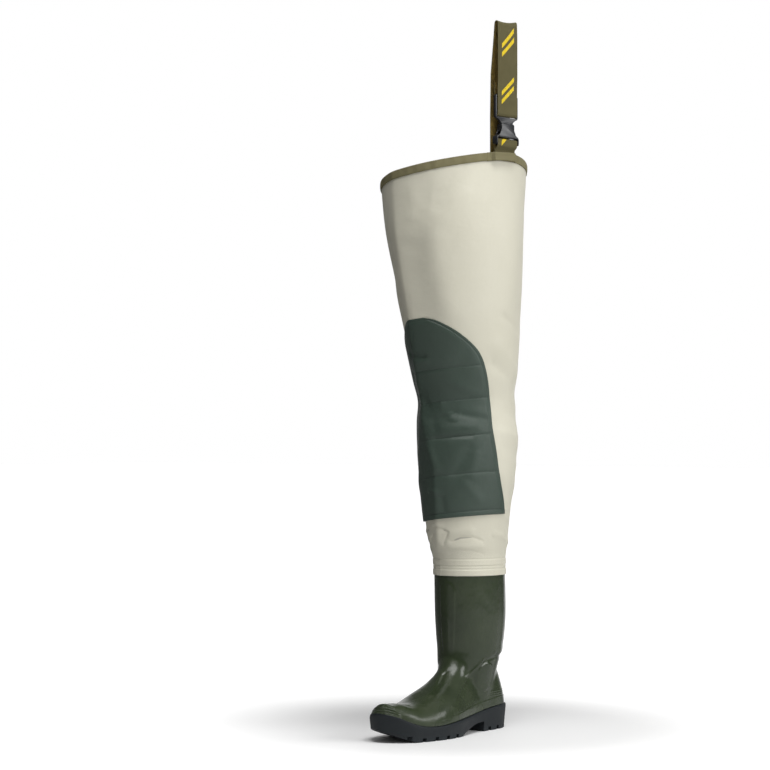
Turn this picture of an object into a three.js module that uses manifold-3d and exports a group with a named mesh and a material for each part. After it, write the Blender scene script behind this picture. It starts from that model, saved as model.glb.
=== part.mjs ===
// Hip wader for the left leg: a moulded rubber boot on a cleated sole, a loose leg of coated fabric
// welded round the boot top, a padded knee, a bound collar, and a webbing loop with its buckle.
// Millimetres, +Z up, toe to -Y, outer side of the left leg to +X.
// The origin is the middle of the heel's flat tread, on the floor.

import * as THREE from 'three';
import { mergeVertices } from 'three/addons/utils/BufferGeometryUtils.js';
import Module from 'manifold-3d';

const wasm = await Module();
wasm.setup();

// Sole
const SOLE_LENGTH = 310;
const SOLE_HALF_WIDTH = 56;
const HEEL_BACK = 47;           // from the origin back to the heel's rear edge
const HEEL_RIM = 41;            // height of the sole's top edge at the heel
const TOE_SPRING = 22;
const SPRING_TURN = 25;         // how far the toe spring's bend is turned from straight across, in degrees
const SPRING_START = 178;       // forward of the origin, as is its end, square to the bend
const SPRING_END = 244;
const SPRING_POWER = 1.3;
const HEEL_BREAST = 40;         // forward of the origin
const ARCH_END = 116;
const ARCH_RISE = 17;
const TREAD_INSET = 3;
const RIM_LIP = 7;
const SEAT_RING = 0.8;          // middle ring of the sole's top face, as a share of its radius
const LUG_DEPTH = 6.5;
const LUG_GAP = 7;
const LUG_PITCH = 25;
const LUG_COUNT = 5;
const FIRST_LUG_GAP = 232;      // forward of the origin
const LUG_REACH = 20;
const HEEL_GAP_PITCH = 23;
const HEEL_GAP_REACH = 15;
const RIB_CHANNEL = 17;         // from the middle line to each long channel of the forefoot
const CUT_OVER = 12;            // how far a cut starts outside what it cuts

// Boot
const CLEAR = 0.3;
const SEAT_CLEAR = 0.92;        // between the sole's curved top and what stands on it
const BOOT_WALL = 2.8;
const BOOT_TOP = 278;
const SHAFT_HALF_WIDTH = 56;
const SHAFT_HALF_LENGTH = 66;
const INSTEP_HEIGHT = 100;
const FEATHER_INSET = 3.5;
const ARCH_POWER = 2.4;         // the foot's sections: 2 is an ellipse, more is fuller
const SHAFT_FILLET = 5;
const INSTEP_FILLET = 24;
const COUNTER_TOP = 118;
const COUNTER_LOW = 60;         // height of the counter's edge where it ends at the instep
const FADE_HEIGHT = 110;        // above this the rings of the boot are level
const LEVEL_BASE = 22;          // height of the level rings' zero
const HEEL_TUCK = 6;
const FOXING_HEIGHT = 11;
const FOXING_STEP = 1.4;
const GUARD_START = 242;        // forward of the origin
const GUARD_STEP = 0.9;
const GUARD_TIER = 6.2;
const SHIN_HALF_WIDTH = 17;
const SHIN_TOP = 255;
const SHIN_FOOT = 127;
const SHIN_STEP = 0.9;
const COUNTER_STEP = 1.2;
const ANKLE_BOSS = { y: -38, z: 90, halfLength: 20, halfHeight: 23, step: 1.8 };
const INSOLE_THICK = 4;
const INSOLE_FIT = 1.4;

// Leg
const LEG_WALL = 1.2;
const LEG_BOTTOM = 260;
const HUG_FADE = 30;
const LEG_HEIGHT = 931;         // mean height of the collar
const COLLAR_HALF_WIDTH = 113;
const COLLAR_LEAN = 58;         // how far forward the collar's middle stands
const COLLAR_TILT = 24;         // the outer side stands higher
const COLLAR_PEAK = 4;          // more height where the strap pulls
const PEAK_ANGLE = 88;          // degrees from the toe towards the outer side
const PEAK_ANGLE_SPREAD = 35;
const LEVEL_LEG = 700;          // below this the leg's rings are level
const WELD_STEP = 0.5;
const WELD_RIB = 9;
const CREASE_ANGLE = 14;        // degrees

// Knee pad
const PAD_BOTTOM = 355;         // on the middle line of the leg
const PAD_TOP = 688;
const PAD_SLOPE = 0.12;         // how steeply the pad's cross lines rise to the outer side
const PAD_OVER = 12;            // how far the forms that the pad is cut from reach past it
const PAD_ANGLE = -8;            // degrees from the toe towards the inner side
const PAD_THICK = 4.5;
const PAD_EDGE = 2.2;
const PAD_SEAM = 2.2;
const SEAM_HALF = 5;

// Collar binding, webbing and buckle
const BINDING_HEIGHT = 12.5;
const BINDING_THICK = 1.2;
const STRAP_ANGLE = 82;         // degrees from the toe towards the outer side
const STRAP_TURN_ANGLE = -8.5;  // degrees that the strap's face turns from +X
const STRAP_WIDTH = 46;
const WEB_THICK = 1.8;
const STRAP_RISE = 213;         // from the collar's edge up to the webbing's fold
const FOLD_HALF = 3.4;
const STRAP_SEWN = 13;          // how far the strap and the tab reach below the collar's edge
const TAIL_LENGTH = 52;
const BUCKLE_OUT = 7;           // middle plane of the buckle, out from the fabric
const BUCKLE_RISE = 12;         // from the collar's edge up to the buckle
const BUCKLE_WIDTH = 52;
const BAR = 5.5;
const SLOT = 6.5;
const BAR_ROUND = 1.2;          // how far the webbing's bend stands off a bar
const SLOT_SIDE = 0.6;
const WAIST_WIDTH = 30;
const FEMALE_HEIGHT = 35;
const FEMALE_THICK = 11;
const CAVITY_THICK = 6.4;
const CAVITY_DEPTH = 22;
const TONGUE_WIDTH = 22;
const NECK_HEIGHT = 8;
const FRAME_HEIGHT = 40;
const FRAME_THICK = 5;
const PRONG_WIDTH = 6;
const WINDOW_HEIGHT = 12;

const AROUND = 44;
const RAD = Math.PI / 180;

// Sole and foot from the heel's rear edge to the toe. Lengths are shares: at of SOLE_LENGTH, inner and outer
// half widths of SOLE_HALF_WIDTH, rim of HEEL_RIM, and top, the foot's height over the rim, of INSTEP_HEIGHT.
const FOOT = [
  { at: 0.00, inner: 0.00, outer: 0.00, rim: 1.00, top: 0.66 },
  { at: 0.03, inner: 0.49, outer: 0.51, rim: 1.00, top: 0.86 },
  { at: 0.08, inner: 0.66, outer: 0.69, rim: 1.00, top: 0.98 },
  { at: 0.16, inner: 0.72, outer: 0.76, rim: 0.965, top: 1.045 },
  { at: 0.26, inner: 0.67, outer: 0.75, rim: 0.89, top: 1.07 },
  { at: 0.36, inner: 0.59, outer: 0.78, rim: 0.79, top: 1.005 },
  { at: 0.46, inner: 0.62, outer: 0.89, rim: 0.73, top: 0.825 },
  { at: 0.56, inner: 0.77, outer: 0.99, rim: 0.67, top: 0.63 },
  { at: 0.66, inner: 0.94, outer: 1.00, rim: 0.59, top: 0.50 },
  { at: 0.74, inner: 1.01, outer: 0.93, rim: 0.56, top: 0.40 },
  { at: 0.82, inner: 0.99, outer: 0.81, rim: 0.61, top: 0.335 },
  { at: 0.89, inner: 0.89, outer: 0.66, rim: 0.77, top: 0.325 },
  { at: 0.95, inner: 0.67, outer: 0.38, rim: 1.02, top: 0.225 },
  { at: 0.985, inner: 0.43, outer: 0.10, rim: 1.13, top: 0.205 },
  { at: 1.00, inner: 0.16, outer: -0.16, rim: 1.18, top: 0.145 },
];

// Shaft sections from the sole to the boot top, as shares: at of BOOT_TOP, wide of SHAFT_HALF_WIDTH, long and
// shift (forward) of SHAFT_HALF_LENGTH. core is where the rays start, forward, as a share of SOLE_LENGTH.
const SHAFT = [
  { at: 0.08, wide: 0.70, long: 0.76, shift: 0.46, core: 0.325 },
  { at: 0.12, wide: 0.71, long: 0.77, shift: 0.46, core: 0.325 },
  { at: 0.22, wide: 0.75, long: 0.80, shift: 0.46, core: 0.290 },
  { at: 0.32, wide: 0.80, long: 0.86, shift: 0.46, core: 0.210 },
  { at: 0.40, wide: 0.84, long: 0.90, shift: 0.44, core: 0.130 },
  { at: 0.49, wide: 0.91, long: 0.94, shift: 0.37, core: 0.085 },
  { at: 0.58, wide: 0.97, long: 0.97, shift: 0.35, core: 0.080 },
  { at: 0.72, wide: 1.01, long: 1.00, shift: 0.345, core: 0.080 },
  { at: 1.00, wide: 1.00, long: 1.00, shift: 0.38, core: 0.080 },
];

// Leg sections from the boot to the collar, as shares: at of LEG_HEIGHT, wide and long of COLLAR_HALF_WIDTH,
// lean (forward) and in (towards the inner side) of COLLAR_LEAN. turn is where the front crease stands, in
// degrees from the toe towards the inner side, and crease is how far it stands out.
const LEG = [
  { at: 0.278, wide: 0.509, long: 0.597, lean: 0.43, in: 0.00, turn: 0, crease: 0.000 },
  { at: 0.310, wide: 0.513, long: 0.607, lean: 0.46, in: 0.00, turn: 3, crease: 0.010 },
  { at: 0.343, wide: 0.550, long: 0.645, lean: 0.51, in: 0.00, turn: 3, crease: 0.030 },
  { at: 0.412, wide: 0.628, long: 0.703, lean: 0.52, in: 0.00, turn: 0, crease: 0.030 },
  { at: 0.484, wide: 0.686, long: 0.766, lean: 0.46, in: 0.00, turn: 5, crease: 0.035 },
  { at: 0.520, wide: 0.695, long: 0.772, lean: 0.47, in: 0.00, turn: 12, crease: 0.040 },
  { at: 0.557, wide: 0.675, long: 0.752, lean: 0.48, in: 0.02, turn: 18, crease: 0.045 },
  { at: 0.592, wide: 0.650, long: 0.722, lean: 0.50, in: 0.02, turn: 20, crease: 0.050 },
  { at: 0.628, wide: 0.697, long: 0.780, lean: 0.55, in: 0.03, turn: 16, crease: 0.045 },
  { at: 0.700, wide: 0.783, long: 0.885, lean: 0.66, in: 0.05, turn: 10, crease: 0.035 },
  { at: 0.808, wide: 0.894, long: 1.027, lean: 0.83, in: 0.07, turn: 10, crease: 0.035 },
  { at: 0.900, wide: 0.969, long: 1.115, lean: 0.97, in: 0.10, turn: 10, crease: 0.030 },
  { at: 1.000, wide: 1.000, long: 1.150, lean: 1.00, in: 0.14, turn: 10, crease: 0.025 },
  { at: 1.060, wide: 1.003, long: 1.150, lean: 1.00, in: 0.14, turn: 10, crease: 0.020 },
];

// Outline of the knee pad: up as a share of its height, half its spread round the leg in degrees
const PAD = [
  { up: 0.00, spread: 107 },
  { up: 0.08, spread: 99 },
  { up: 0.19, spread: 87 },
  { up: 0.29, spread: 81 },
  { up: 0.42, spread: 76 },
  { up: 0.55, spread: 75 },
  { up: 0.71, spread: 69 },
  { up: 0.81, spread: 60 },
  { up: 0.90, spread: 42 },
  { up: 0.96, spread: 26 },
  { up: 0.985, spread: 17 },
  { up: 1.00, spread: 8 },
];

// Welded cross seams of the pad, as shares of its height, the lowest being its hem
const PAD_SEAMS = [0.025, 0.212, 0.399, 0.583, 0.742];

const mix = (a, b, t) => a + (b - a) * t;
const clamp01 = (t) => Math.min(Math.max(t, 0), 1);
const ease = (t) => clamp01(t) ** 2 * (3 - 2 * clamp01(t));
const sum = (values) => values.reduce((a, b) => a + b, 0);

// One row between the rows of a table: a cubic through them, with slopes from their neighbours
function row(table, key, at, measure = (v) => v) {
  let i = table.findIndex((r) => r[key] > at) - 1;
  if (i < 0) i = at >= table.at(-1)[key] ? table.length - 2 : 0;
  const [p, q] = [table[i], table[i + 1]];
  const [before, after] = [table[Math.max(i - 1, 0)], table[Math.min(i + 2, table.length - 1)]];
  const [x0, x1, x2, x3] = [before, p, q, after].map((r) => measure(r[key]));
  const span = x2 - x1;
  const t = clamp01((measure(at) - x1) / span);
  const out = {};
  for (const name of Object.keys(p)) {
    const slopeIn = ((q[name] - before[name]) / (x2 - x0)) * span;
    const slopeOut = ((after[name] - p[name]) / (x3 - x1)) * span;
    out[name] = (2 * t ** 3 - 3 * t ** 2 + 1) * p[name] + (t ** 3 - 2 * t ** 2 + t) * slopeIn
      + (3 * t ** 2 - 2 * t ** 3) * q[name] + (t ** 3 - t ** 2) * slopeOut;
  }
  return out;
}

// Round ends: the foot's table is read by the angle whose cosine runs along the sole
const turnAlong = (s) => Math.acos(1 - 2 * clamp01(s));
const footRow = (s) => row(FOOT, 'at', clamp01(s), turnAlong);
const soleShare = (y) => (HEEL_BACK - y) / SOLE_LENGTH;
const rimHeight = (y) => footRow(soleShare(y)).rim * HEEL_RIM;
const direction = (az) => [Math.sin(az), -Math.cos(az)];

// Distance along a ray at which a point leaves a shape, found by halving
function reach(inside, centre, az) {
  const [dx, dy] = direction(az);
  let [low, high] = [0, SOLE_LENGTH];
  for (let i = 0; i < 24; i += 1) {
    const middle = (low + high) / 2;
    if (inside(middle * dx, centre + middle * dy)) low = middle;
    else high = middle;
  }
  return low;
}

const SOLE_CORE = -SHAFT[0].core * SOLE_LENGTH;

// The sole's outline, in by inset, seen along a ray from its core
function soleRadius(az, inset) {
  const inside = (x, y) => {
    const s = (HEEL_BACK - inset - y) / (SOLE_LENGTH - 2 * inset);
    if (s <= 0 || s >= 1) return false;
    const side = footRow(s);
    const shrink = (SOLE_HALF_WIDTH - inset) / SOLE_HALF_WIDTH;
    return x > -side.inner * SOLE_HALF_WIDTH * shrink && x < side.outer * SOLE_HALF_WIDTH * shrink;
  };
  return reach(inside, SOLE_CORE, az);
}

// Height of the sole's top face: it follows the rim's height at its core, at a middle ring and at its edge,
// and is straight between them
function seat(az, radius) {
  const edge = soleRadius(az, 0);
  const level = (share) => rimHeight(SOLE_CORE + share * edge * direction(az)[1]);
  const share = radius / edge;
  return share < SEAT_RING ? mix(level(0), level(SEAT_RING), share / SEAT_RING)
    : mix(level(SEAT_RING), level(1), (share - SEAT_RING) / (1 - SEAT_RING));
}

const smoothMax = (a, b, k) => Math.max(a, b) + Math.max(k - Math.abs(a - b), 0) ** 2 / (4 * k);

// Outer form of the boot at a height over the rim, in by inset: the foot's arched sections, and the shaft's
// ellipse, joined by a fillet that is wide over the instep
function bootRadius(az, height, inset) {
  const shaft = row(SHAFT, 'at', (height + LEVEL_BASE) / BOOT_TOP);
  const core = -shaft.core * SOLE_LENGTH;
  const back = HEEL_BACK - FEATHER_INSET - inset - HEEL_TUCK * ease(height / FADE_HEIGHT);
  const toe = HEEL_BACK - SOLE_LENGTH + FEATHER_INSET + inset;
  const inFoot = (x, y) => {
    const s = (back - y) / (back - toe);
    if (s <= 0 || s >= 1) return false;
    const side = footRow(s);
    const up = height / (side.top * INSTEP_HEIGHT - inset);
    if (up >= 1 || up < 0) return false;
    const arch = Math.sqrt(1 - up ** ARCH_POWER);
    const grow = (SOLE_HALF_WIDTH - FEATHER_INSET - inset) / SOLE_HALF_WIDTH;
    return x > -side.inner * SOLE_HALF_WIDTH * grow * arch && x < side.outer * SOLE_HALF_WIDTH * grow * arch;
  };
  const tallest = Math.max(...FOOT.map(({ top }) => top)) * INSTEP_HEIGHT;
  const foot = height < tallest ? reach(inFoot, core, az) : 0;
  const [a, b] = [shaft.wide * SHAFT_HALF_WIDTH - inset, shaft.long * SHAFT_HALF_LENGTH - inset];
  const offset = core + shaft.shift * SHAFT_HALF_LENGTH;
  const [dx, dy] = direction(az);
  const [qa, qb, qc] = [(dx / a) ** 2 + (dy / b) ** 2, (dy * offset) / b ** 2, (offset / b) ** 2 - 1];
  const under = qb ** 2 - qa * qc;
  const round = under > 0 ? Math.max((-qb + Math.sqrt(under)) / qa, 0) : 0;
  const front = Math.max(Math.cos(az), 0) ** 2;
  return { radius: smoothMax(foot, round, SHAFT_FILLET + INSTEP_FILLET * front), core };
}

// Height of a boot ring over the floor: it follows the sole's rim low down and is level from the ankle up
const ringBase = (y, height) => mix(rimHeight(y), LEVEL_BASE, ease(height / FADE_HEIGHT));

// Raised forms of the boot's face: foxing, the toe guard's tiers, shin panel, heel counter and ankle boss
function bootRelief(x, y, z, height) {
  const foxing = height <= FOXING_HEIGHT ? FOXING_STEP : 0;
  const tiers = Math.max(3 - Math.floor(height / GUARD_TIER), 0);
  const guard = y < -GUARD_START ? tiers * GUARD_STEP : 0;
  const shinEdge = ease((SHIN_HALF_WIDTH - Math.abs(x)) / 4 + 0.5);
  const shin = y < 0 ? SHIN_STEP * shinEdge * ease((SHIN_TOP - z) / 8) * ease((z - SHIN_FOOT) / 25) : 0;
  const counterTop = mix(COUNTER_TOP, COUNTER_LOW, ease((-y - 30) / 90));
  const counter = y > -115 && y < 60 ? COUNTER_STEP * ease((counterTop - z) / 5) : 0;
  const boss = ANKLE_BOSS;
  const away = ((y - boss.y) / boss.halfLength) ** 2 + ((z - boss.z) / boss.halfHeight) ** 2;
  return Math.max(foxing, guard) + shin + counter + boss.step * ease((1.15 - away) / 0.5);
}

// Rays crowd towards toe and heel low down, where the ring is long and narrow
function azimuth(j, height) {
  const t = (2 * Math.PI * j) / AROUND;
  const narrow = mix(0.42, 1, ease(height / FADE_HEIGHT));
  return Math.atan2(Math.sin(t) * narrow, Math.cos(t));
}

const around = (make) => Array.from({ length: AROUND }, (_, j) => make(j));

function bootRing(height, inset, raised) {
  return around((j) => {
    const az = azimuth(j, height);
    const { radius, core } = bootRadius(az, height, inset);
    const [dx, dy] = direction(az);
    const y = core + radius * dy;
    const level = height + ringBase(y, height);
    const out = radius + (raised ? bootRelief(radius * dx, y, level, height) : 0);
    return [out * dx, core + out * dy, height === 0 ? seat(az, out) + SEAT_CLEAR : level];
  });
}

// Height of the collar's edge: tilted to the outer side, with a peak where the strap pulls it up
function collarHeight(az) {
  const from = Math.atan2(Math.sin(az - PEAK_ANGLE * RAD), Math.cos(az - PEAK_ANGLE * RAD)) / RAD;
  const peak = Math.exp(-((from / PEAK_ANGLE_SPREAD) ** 2));
  return LEG_HEIGHT + COLLAR_TILT * Math.cos(from * RAD) + COLLAR_PEAK * peak;
}

// Level rings low down, rising with the collar further up
const legHeight = (az, level) => level + (collarHeight(az) - LEG_HEIGHT)
  * ease((level - LEVEL_LEG) / (LEG_HEIGHT - LEVEL_LEG));

// Outer face of the leg: an ellipse turned with the front crease, which stands out, as a fainter one behind.
// Low down it hugs the boot's shaft.
function legPoint(az, z, out) {
  const r = row(LEG, 'at', z / LEG_HEIGHT);
  const free = ease((z - BOOT_TOP) / HUG_FADE);
  const off = az + r.turn * RAD;
  const around180 = (angle) => Math.abs(Math.atan2(Math.sin(angle), Math.cos(angle))) / RAD;
  const ridge = (angle) => Math.exp(-around180(angle) / CREASE_ANGLE);
  const crease = ridge(off) + 0.5 * ridge(off + Math.PI);
  const [a, b] = [r.wide * COLLAR_HALF_WIDTH, r.long * COLLAR_HALF_WIDTH];
  const radius = (1 + r.crease * crease) / Math.hypot(Math.sin(off) / a, Math.cos(off) / b) + out;
  const [dx, dy] = direction(az);
  const loose = [radius * dx - r.in * COLLAR_LEAN, radius * dy - r.lean * COLLAR_LEAN];
  if (free === 1) return [...loose, z];
  const shaft = bootRadius(az, Math.min(z, BOOT_TOP) - LEVEL_BASE, 0);
  const snug = shaft.radius + CLEAR + LEG_WALL + out;
  return [mix(snug * dx, loose[0], free), mix(shaft.core + snug * dy, loose[1], free), z];
}

const legAz = (j) => (2 * Math.PI * j) / AROUND;
const legRing = (level, out) => around((j) => legPoint(legAz(j), legHeight(legAz(j), level), out));

// Faces between rings of points, a ring of one point being a pole; a loop joins the last ring to the first.
// Rising and falling walls are split along the same diagonals, so that a wall's two faces match.
function loft(rings, loop = false) {
  const points = rings.flat();
  const starts = rings.map((_, i) => sum(rings.slice(0, i).map((r) => r.length)));
  const faces = [];
  const last = loop ? rings.length : rings.length - 1;
  for (let i = 0; i < last; i += 1) {
    const [a, b] = [rings[i], rings[(i + 1) % rings.length]];
    const [low, high] = [starts[i], starts[(i + 1) % rings.length]];
    const count = Math.max(a.length, b.length);
    const falling = b[0][2] < a[0][2];
    for (let j = 0; j < count; j += 1) {
      const k = (j + 1) % count;
      if (a.length === 1) faces.push([low, high + k, high + j]);
      else if (b.length === 1) faces.push([low + j, low + k, high]);
      else if (falling) faces.push([low + j, low + k, high + j], [low + k, high + k, high + j]);
      else faces.push([low + j, low + k, high + k], [low + j, high + k, high + j]);
    }
  }
  const geometry = new THREE.BufferGeometry();
  geometry.setAttribute('position', new THREE.Float32BufferAttribute(points.flat(), 3));
  geometry.setIndex(faces.flat());
  return geometry;
}

function solid(geometry) {
  const bare = geometry.clone();
  bare.deleteAttribute('normal');
  bare.deleteAttribute('uv');
  const merged = mergeVertices(bare, 1e-4);
  return new wasm.Manifold(new wasm.Mesh({
    numProp: 3,
    vertProperties: new Float32Array(merged.attributes.position.array),
    triVerts: new Uint32Array(merged.index.array),
  }));
}

function shapeOf(manifold) {
  const mesh = manifold.getMesh();
  const geometry = new THREE.BufferGeometry();
  geometry.setAttribute('position', new THREE.Float32BufferAttribute(mesh.vertProperties, 3));
  geometry.setIndex(Array.from(mesh.triVerts));
  return geometry;
}

function block(width, length, height, x, y, z, turn = 0) {
  return solid(new THREE.BoxGeometry(width, length, height).rotateZ(turn).translate(x, y, z));
}

const cut = (body, tools) => tools.reduce((left, tool) => left.subtract(tool), body);
const join = (bodies) => bodies.reduce((all, body) => all.add(body));

// A flat outline in (u, v) made into a plate of the given thickness about w = 0, turned so that u, v and w
// lie along the three given directions
function plate(outline, thickness, u, v, w) {
  const shape = new THREE.Shape(outline.map(([a, b]) => new THREE.Vector2(a, b)));
  const geometry = new THREE.ExtrudeGeometry(shape, { depth: thickness, bevelEnabled: false });
  geometry.translate(0, 0, -thickness / 2);
  return geometry.applyMatrix4(new THREE.Matrix4().makeBasis(u, v, w));
}

const X = new THREE.Vector3(1, 0, 0);
const Y = new THREE.Vector3(0, 1, 0);
const Z = new THREE.Vector3(0, 0, 1);

// Outsole: the outline drawn up from tread to rim, then the toe spring, arch and lug gaps are cut away
function outsole() {
  const wall = (inset, level, share = 1) => around((j) => {
    const az = azimuth(j, 0);
    const radius = soleRadius(az, inset) * share;
    const [dx, dy] = direction(az);
    const y = SOLE_CORE + radius * dy;
    return [radius * dx, y, level(az, radius, y)];
  });
  const body = solid(loft([
    [[0, SOLE_CORE, 0]],
    wall(TREAD_INSET, () => 0),
    wall(0, (az, radius, y) => rimHeight(y) - RIM_LIP),
    wall(0, seat),
    wall(0, seat, SEAT_RING),
    [[0, SOLE_CORE, seat(0, 0)]],
  ]));
  const springAt = (forward) => TOE_SPRING
    * clamp01((forward - SPRING_START) / (SPRING_END - SPRING_START)) ** SPRING_POWER;
  const spring = (x, y) => springAt(-x * Math.sin(SPRING_TURN * RAD) - y * Math.cos(SPRING_TURN * RAD));
  const steps = 7;
  const below = -CUT_OVER;
  const past = SPRING_END + 2 * CUT_OVER;
  const toeCut = [[-past, below], [-SPRING_START, below]];
  for (let i = 0; i <= steps; i += 1) {
    const forward = mix(SPRING_START, SPRING_END, i / steps);
    toeCut.push([-forward, springAt(forward)]);
  }
  toeCut.push([-past, TOE_SPRING]);
  const archCut = [[-ARCH_END, below], [-HEEL_BREAST, below], [-HEEL_BREAST, ARCH_RISE]];
  for (let i = 1; i <= 5; i += 1) {
    const t = i / 5;
    archCut.push([mix(-HEEL_BREAST, -ARCH_END, t), ARCH_RISE * (1 - t * t)]);
  }
  const wide = 2 * SOLE_LENGTH;
  const tools = [
    solid(plate(toeCut, wide, Y, Z, X).rotateZ(-SPRING_TURN * RAD)),
    solid(plate(archCut, wide, Y, Z, X)),
  ];
  const edges = (y) => [[footRow(soleShare(y)).outer, 1], [-footRow(soleShare(y)).inner, -1]];
  for (let i = 0; i < LUG_COUNT; i += 1) {
    const y = -FIRST_LUG_GAP + i * LUG_PITCH;
    for (const [face, away] of edges(y)) {
      const x = face * SOLE_HALF_WIDTH;
      const high = spring(x, y) + LUG_DEPTH;
      const middle = x + away * (CUT_OVER - LUG_REACH / 2);
      tools.push(block(LUG_REACH + CUT_OVER, LUG_GAP, 2 * high, middle, y, 0));
    }
    if (i < LUG_COUNT - 1) {
      const between = y + LUG_PITCH / 2;
      tools.push(block(2 * RIB_CHANNEL, LUG_GAP, 2 * (spring(0, between) + LUG_DEPTH), 0, between, 0));
    }
  }
  const channelLength = (LUG_COUNT - 1) * LUG_PITCH;
  for (const x of [-RIB_CHANNEL, RIB_CHANNEL]) {
    tools.push(block(LUG_GAP, channelLength, 2 * LUG_DEPTH, x, -FIRST_LUG_GAP + channelLength / 2, 0));
  }
  for (const y of [-HEEL_GAP_PITCH, 0, HEEL_GAP_PITCH]) {
    for (const [face, away] of edges(y)) {
      const x = face * SOLE_HALF_WIDTH + away * (CUT_OVER - HEEL_GAP_REACH / 2);
      tools.push(block(HEEL_GAP_REACH + CUT_OVER, LUG_GAP, 2 * LUG_DEPTH, x, y, 0));
    }
  }
  for (const x of [-HEEL_GAP_PITCH / 2, HEEL_GAP_PITCH / 2]) {
    const y = HEEL_BACK + CUT_OVER - HEEL_GAP_REACH / 2;
    tools.push(block(LUG_GAP, HEEL_GAP_REACH + CUT_OVER, 2 * LUG_DEPTH, x, y, 0));
  }
  return shapeOf(cut(body, tools));
}

function bootUpper() {
  const step = 0.4;
  const guardEdges = [1, 2, 3].flatMap((i) => [i * GUARD_TIER - step, i * GUARD_TIER]);
  const top = BOOT_TOP - LEVEL_BASE;
  const foot = Array.from({ length: 10 }, (_, i) => mix(FOXING_HEIGHT, FADE_HEIGHT, (i + 2) / 11));
  const shaft = [0.1, 0.2, 0.34, 0.55, 0.75].map((share) => mix(FADE_HEIGHT, top, share));
  const outer = [0, ...guardEdges, FOXING_HEIGHT, FOXING_HEIGHT + step, ...foot, ...shaft,
    LEG_BOTTOM - 2 - LEVEL_BASE, top].sort((a, b) => a - b);
  const floor = INSOLE_THICK + 1;
  const inFoot = Array.from({ length: 9 }, (_, i) => mix(floor, FADE_HEIGHT, 1 - i / 9));
  const inner = [top, mix(FADE_HEIGHT, top, 0.55), mix(FADE_HEIGHT, top, 0.25), ...inFoot, floor, 0];
  return loft([
    ...outer.map((height) => bootRing(height, 0, true)),
    ...inner.map((height) => bootRing(height, BOOT_WALL, false)),
  ], true);
}

function insole() {
  const place = (az, radius, lift) => {
    const [dx, dy] = direction(az);
    return [radius * dx, SOLE_CORE + radius * dy, seat(az, radius) + lift];
  };
  const edge = (height, lift) => around((j) => {
    const az = azimuth(j, 0);
    return place(az, bootRadius(az, height, BOOT_WALL + INSOLE_FIT).radius, lift);
  });
  const inner = (lift) => around((j) => {
    const az = azimuth(j, 0);
    return place(az, soleRadius(az, 0) * SEAT_RING, lift);
  });
  const top = SEAT_CLEAR + INSOLE_THICK;
  return loft([[place(0, 0, SEAT_CLEAR)], inner(SEAT_CLEAR), edge(0, SEAT_CLEAR), edge(INSOLE_THICK + 1, top),
    inner(top), [place(0, 0, top)]]);
}

// Levels of the leg's rings, shared with the pad's inner face so that their flats match
const WELD_LEVELS = [
  [LEG_BOTTOM, 1], [LEG_BOTTOM + WELD_RIB, 1], [LEG_BOTTOM + WELD_RIB + 1, 0],
  [LEG_BOTTOM + 2 * WELD_RIB - 2, 0], [LEG_BOTTOM + 2 * WELD_RIB - 1, 1], [LEG_BOTTOM + 3 * WELD_RIB, 1],
  [LEG_BOTTOM + 3 * WELD_RIB + 1, 0],
];
const [PAD_LOWEST, PAD_HIGHEST] = [PAD_BOTTOM - PAD_OVER, PAD_TOP + PAD_OVER];
const PAD_LEVELS = Array.from({ length: 10 }, (_, i) => mix(PAD_LOWEST, PAD_HIGHEST, i / 9));
const LEG_LEVELS = [mix(LEG_BOTTOM + 3 * WELD_RIB, PAD_BOTTOM, 0.5), ...PAD_LEVELS];
const TOP_LEVELS = [0.24, 0.49, 0.75].map((share) => mix(PAD_TOP, LEG_HEIGHT, share));

function leg() {
  const edge = (out) => [BINDING_HEIGHT + 2, 0].map((down) => around((j) => {
    const az = legAz(j);
    return legPoint(az, collarHeight(az) - down, out);
  }));
  const inner = [...TOP_LEVELS, ...LEG_LEVELS, LEG_BOTTOM + 3 * WELD_RIB, LEG_BOTTOM].sort((a, b) => b - a);
  return loft([
    ...WELD_LEVELS.map(([level, raised]) => legRing(level, raised * WELD_STEP)),
    ...LEG_LEVELS.map((level) => legRing(level, 0)),
    ...TOP_LEVELS.map((level) => legRing(level, 0)),
    ...edge(0),
    ...edge(-LEG_WALL).reverse(),
    ...inner.map((level) => legRing(level, -LEG_WALL)),
  ], true);
}

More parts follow.
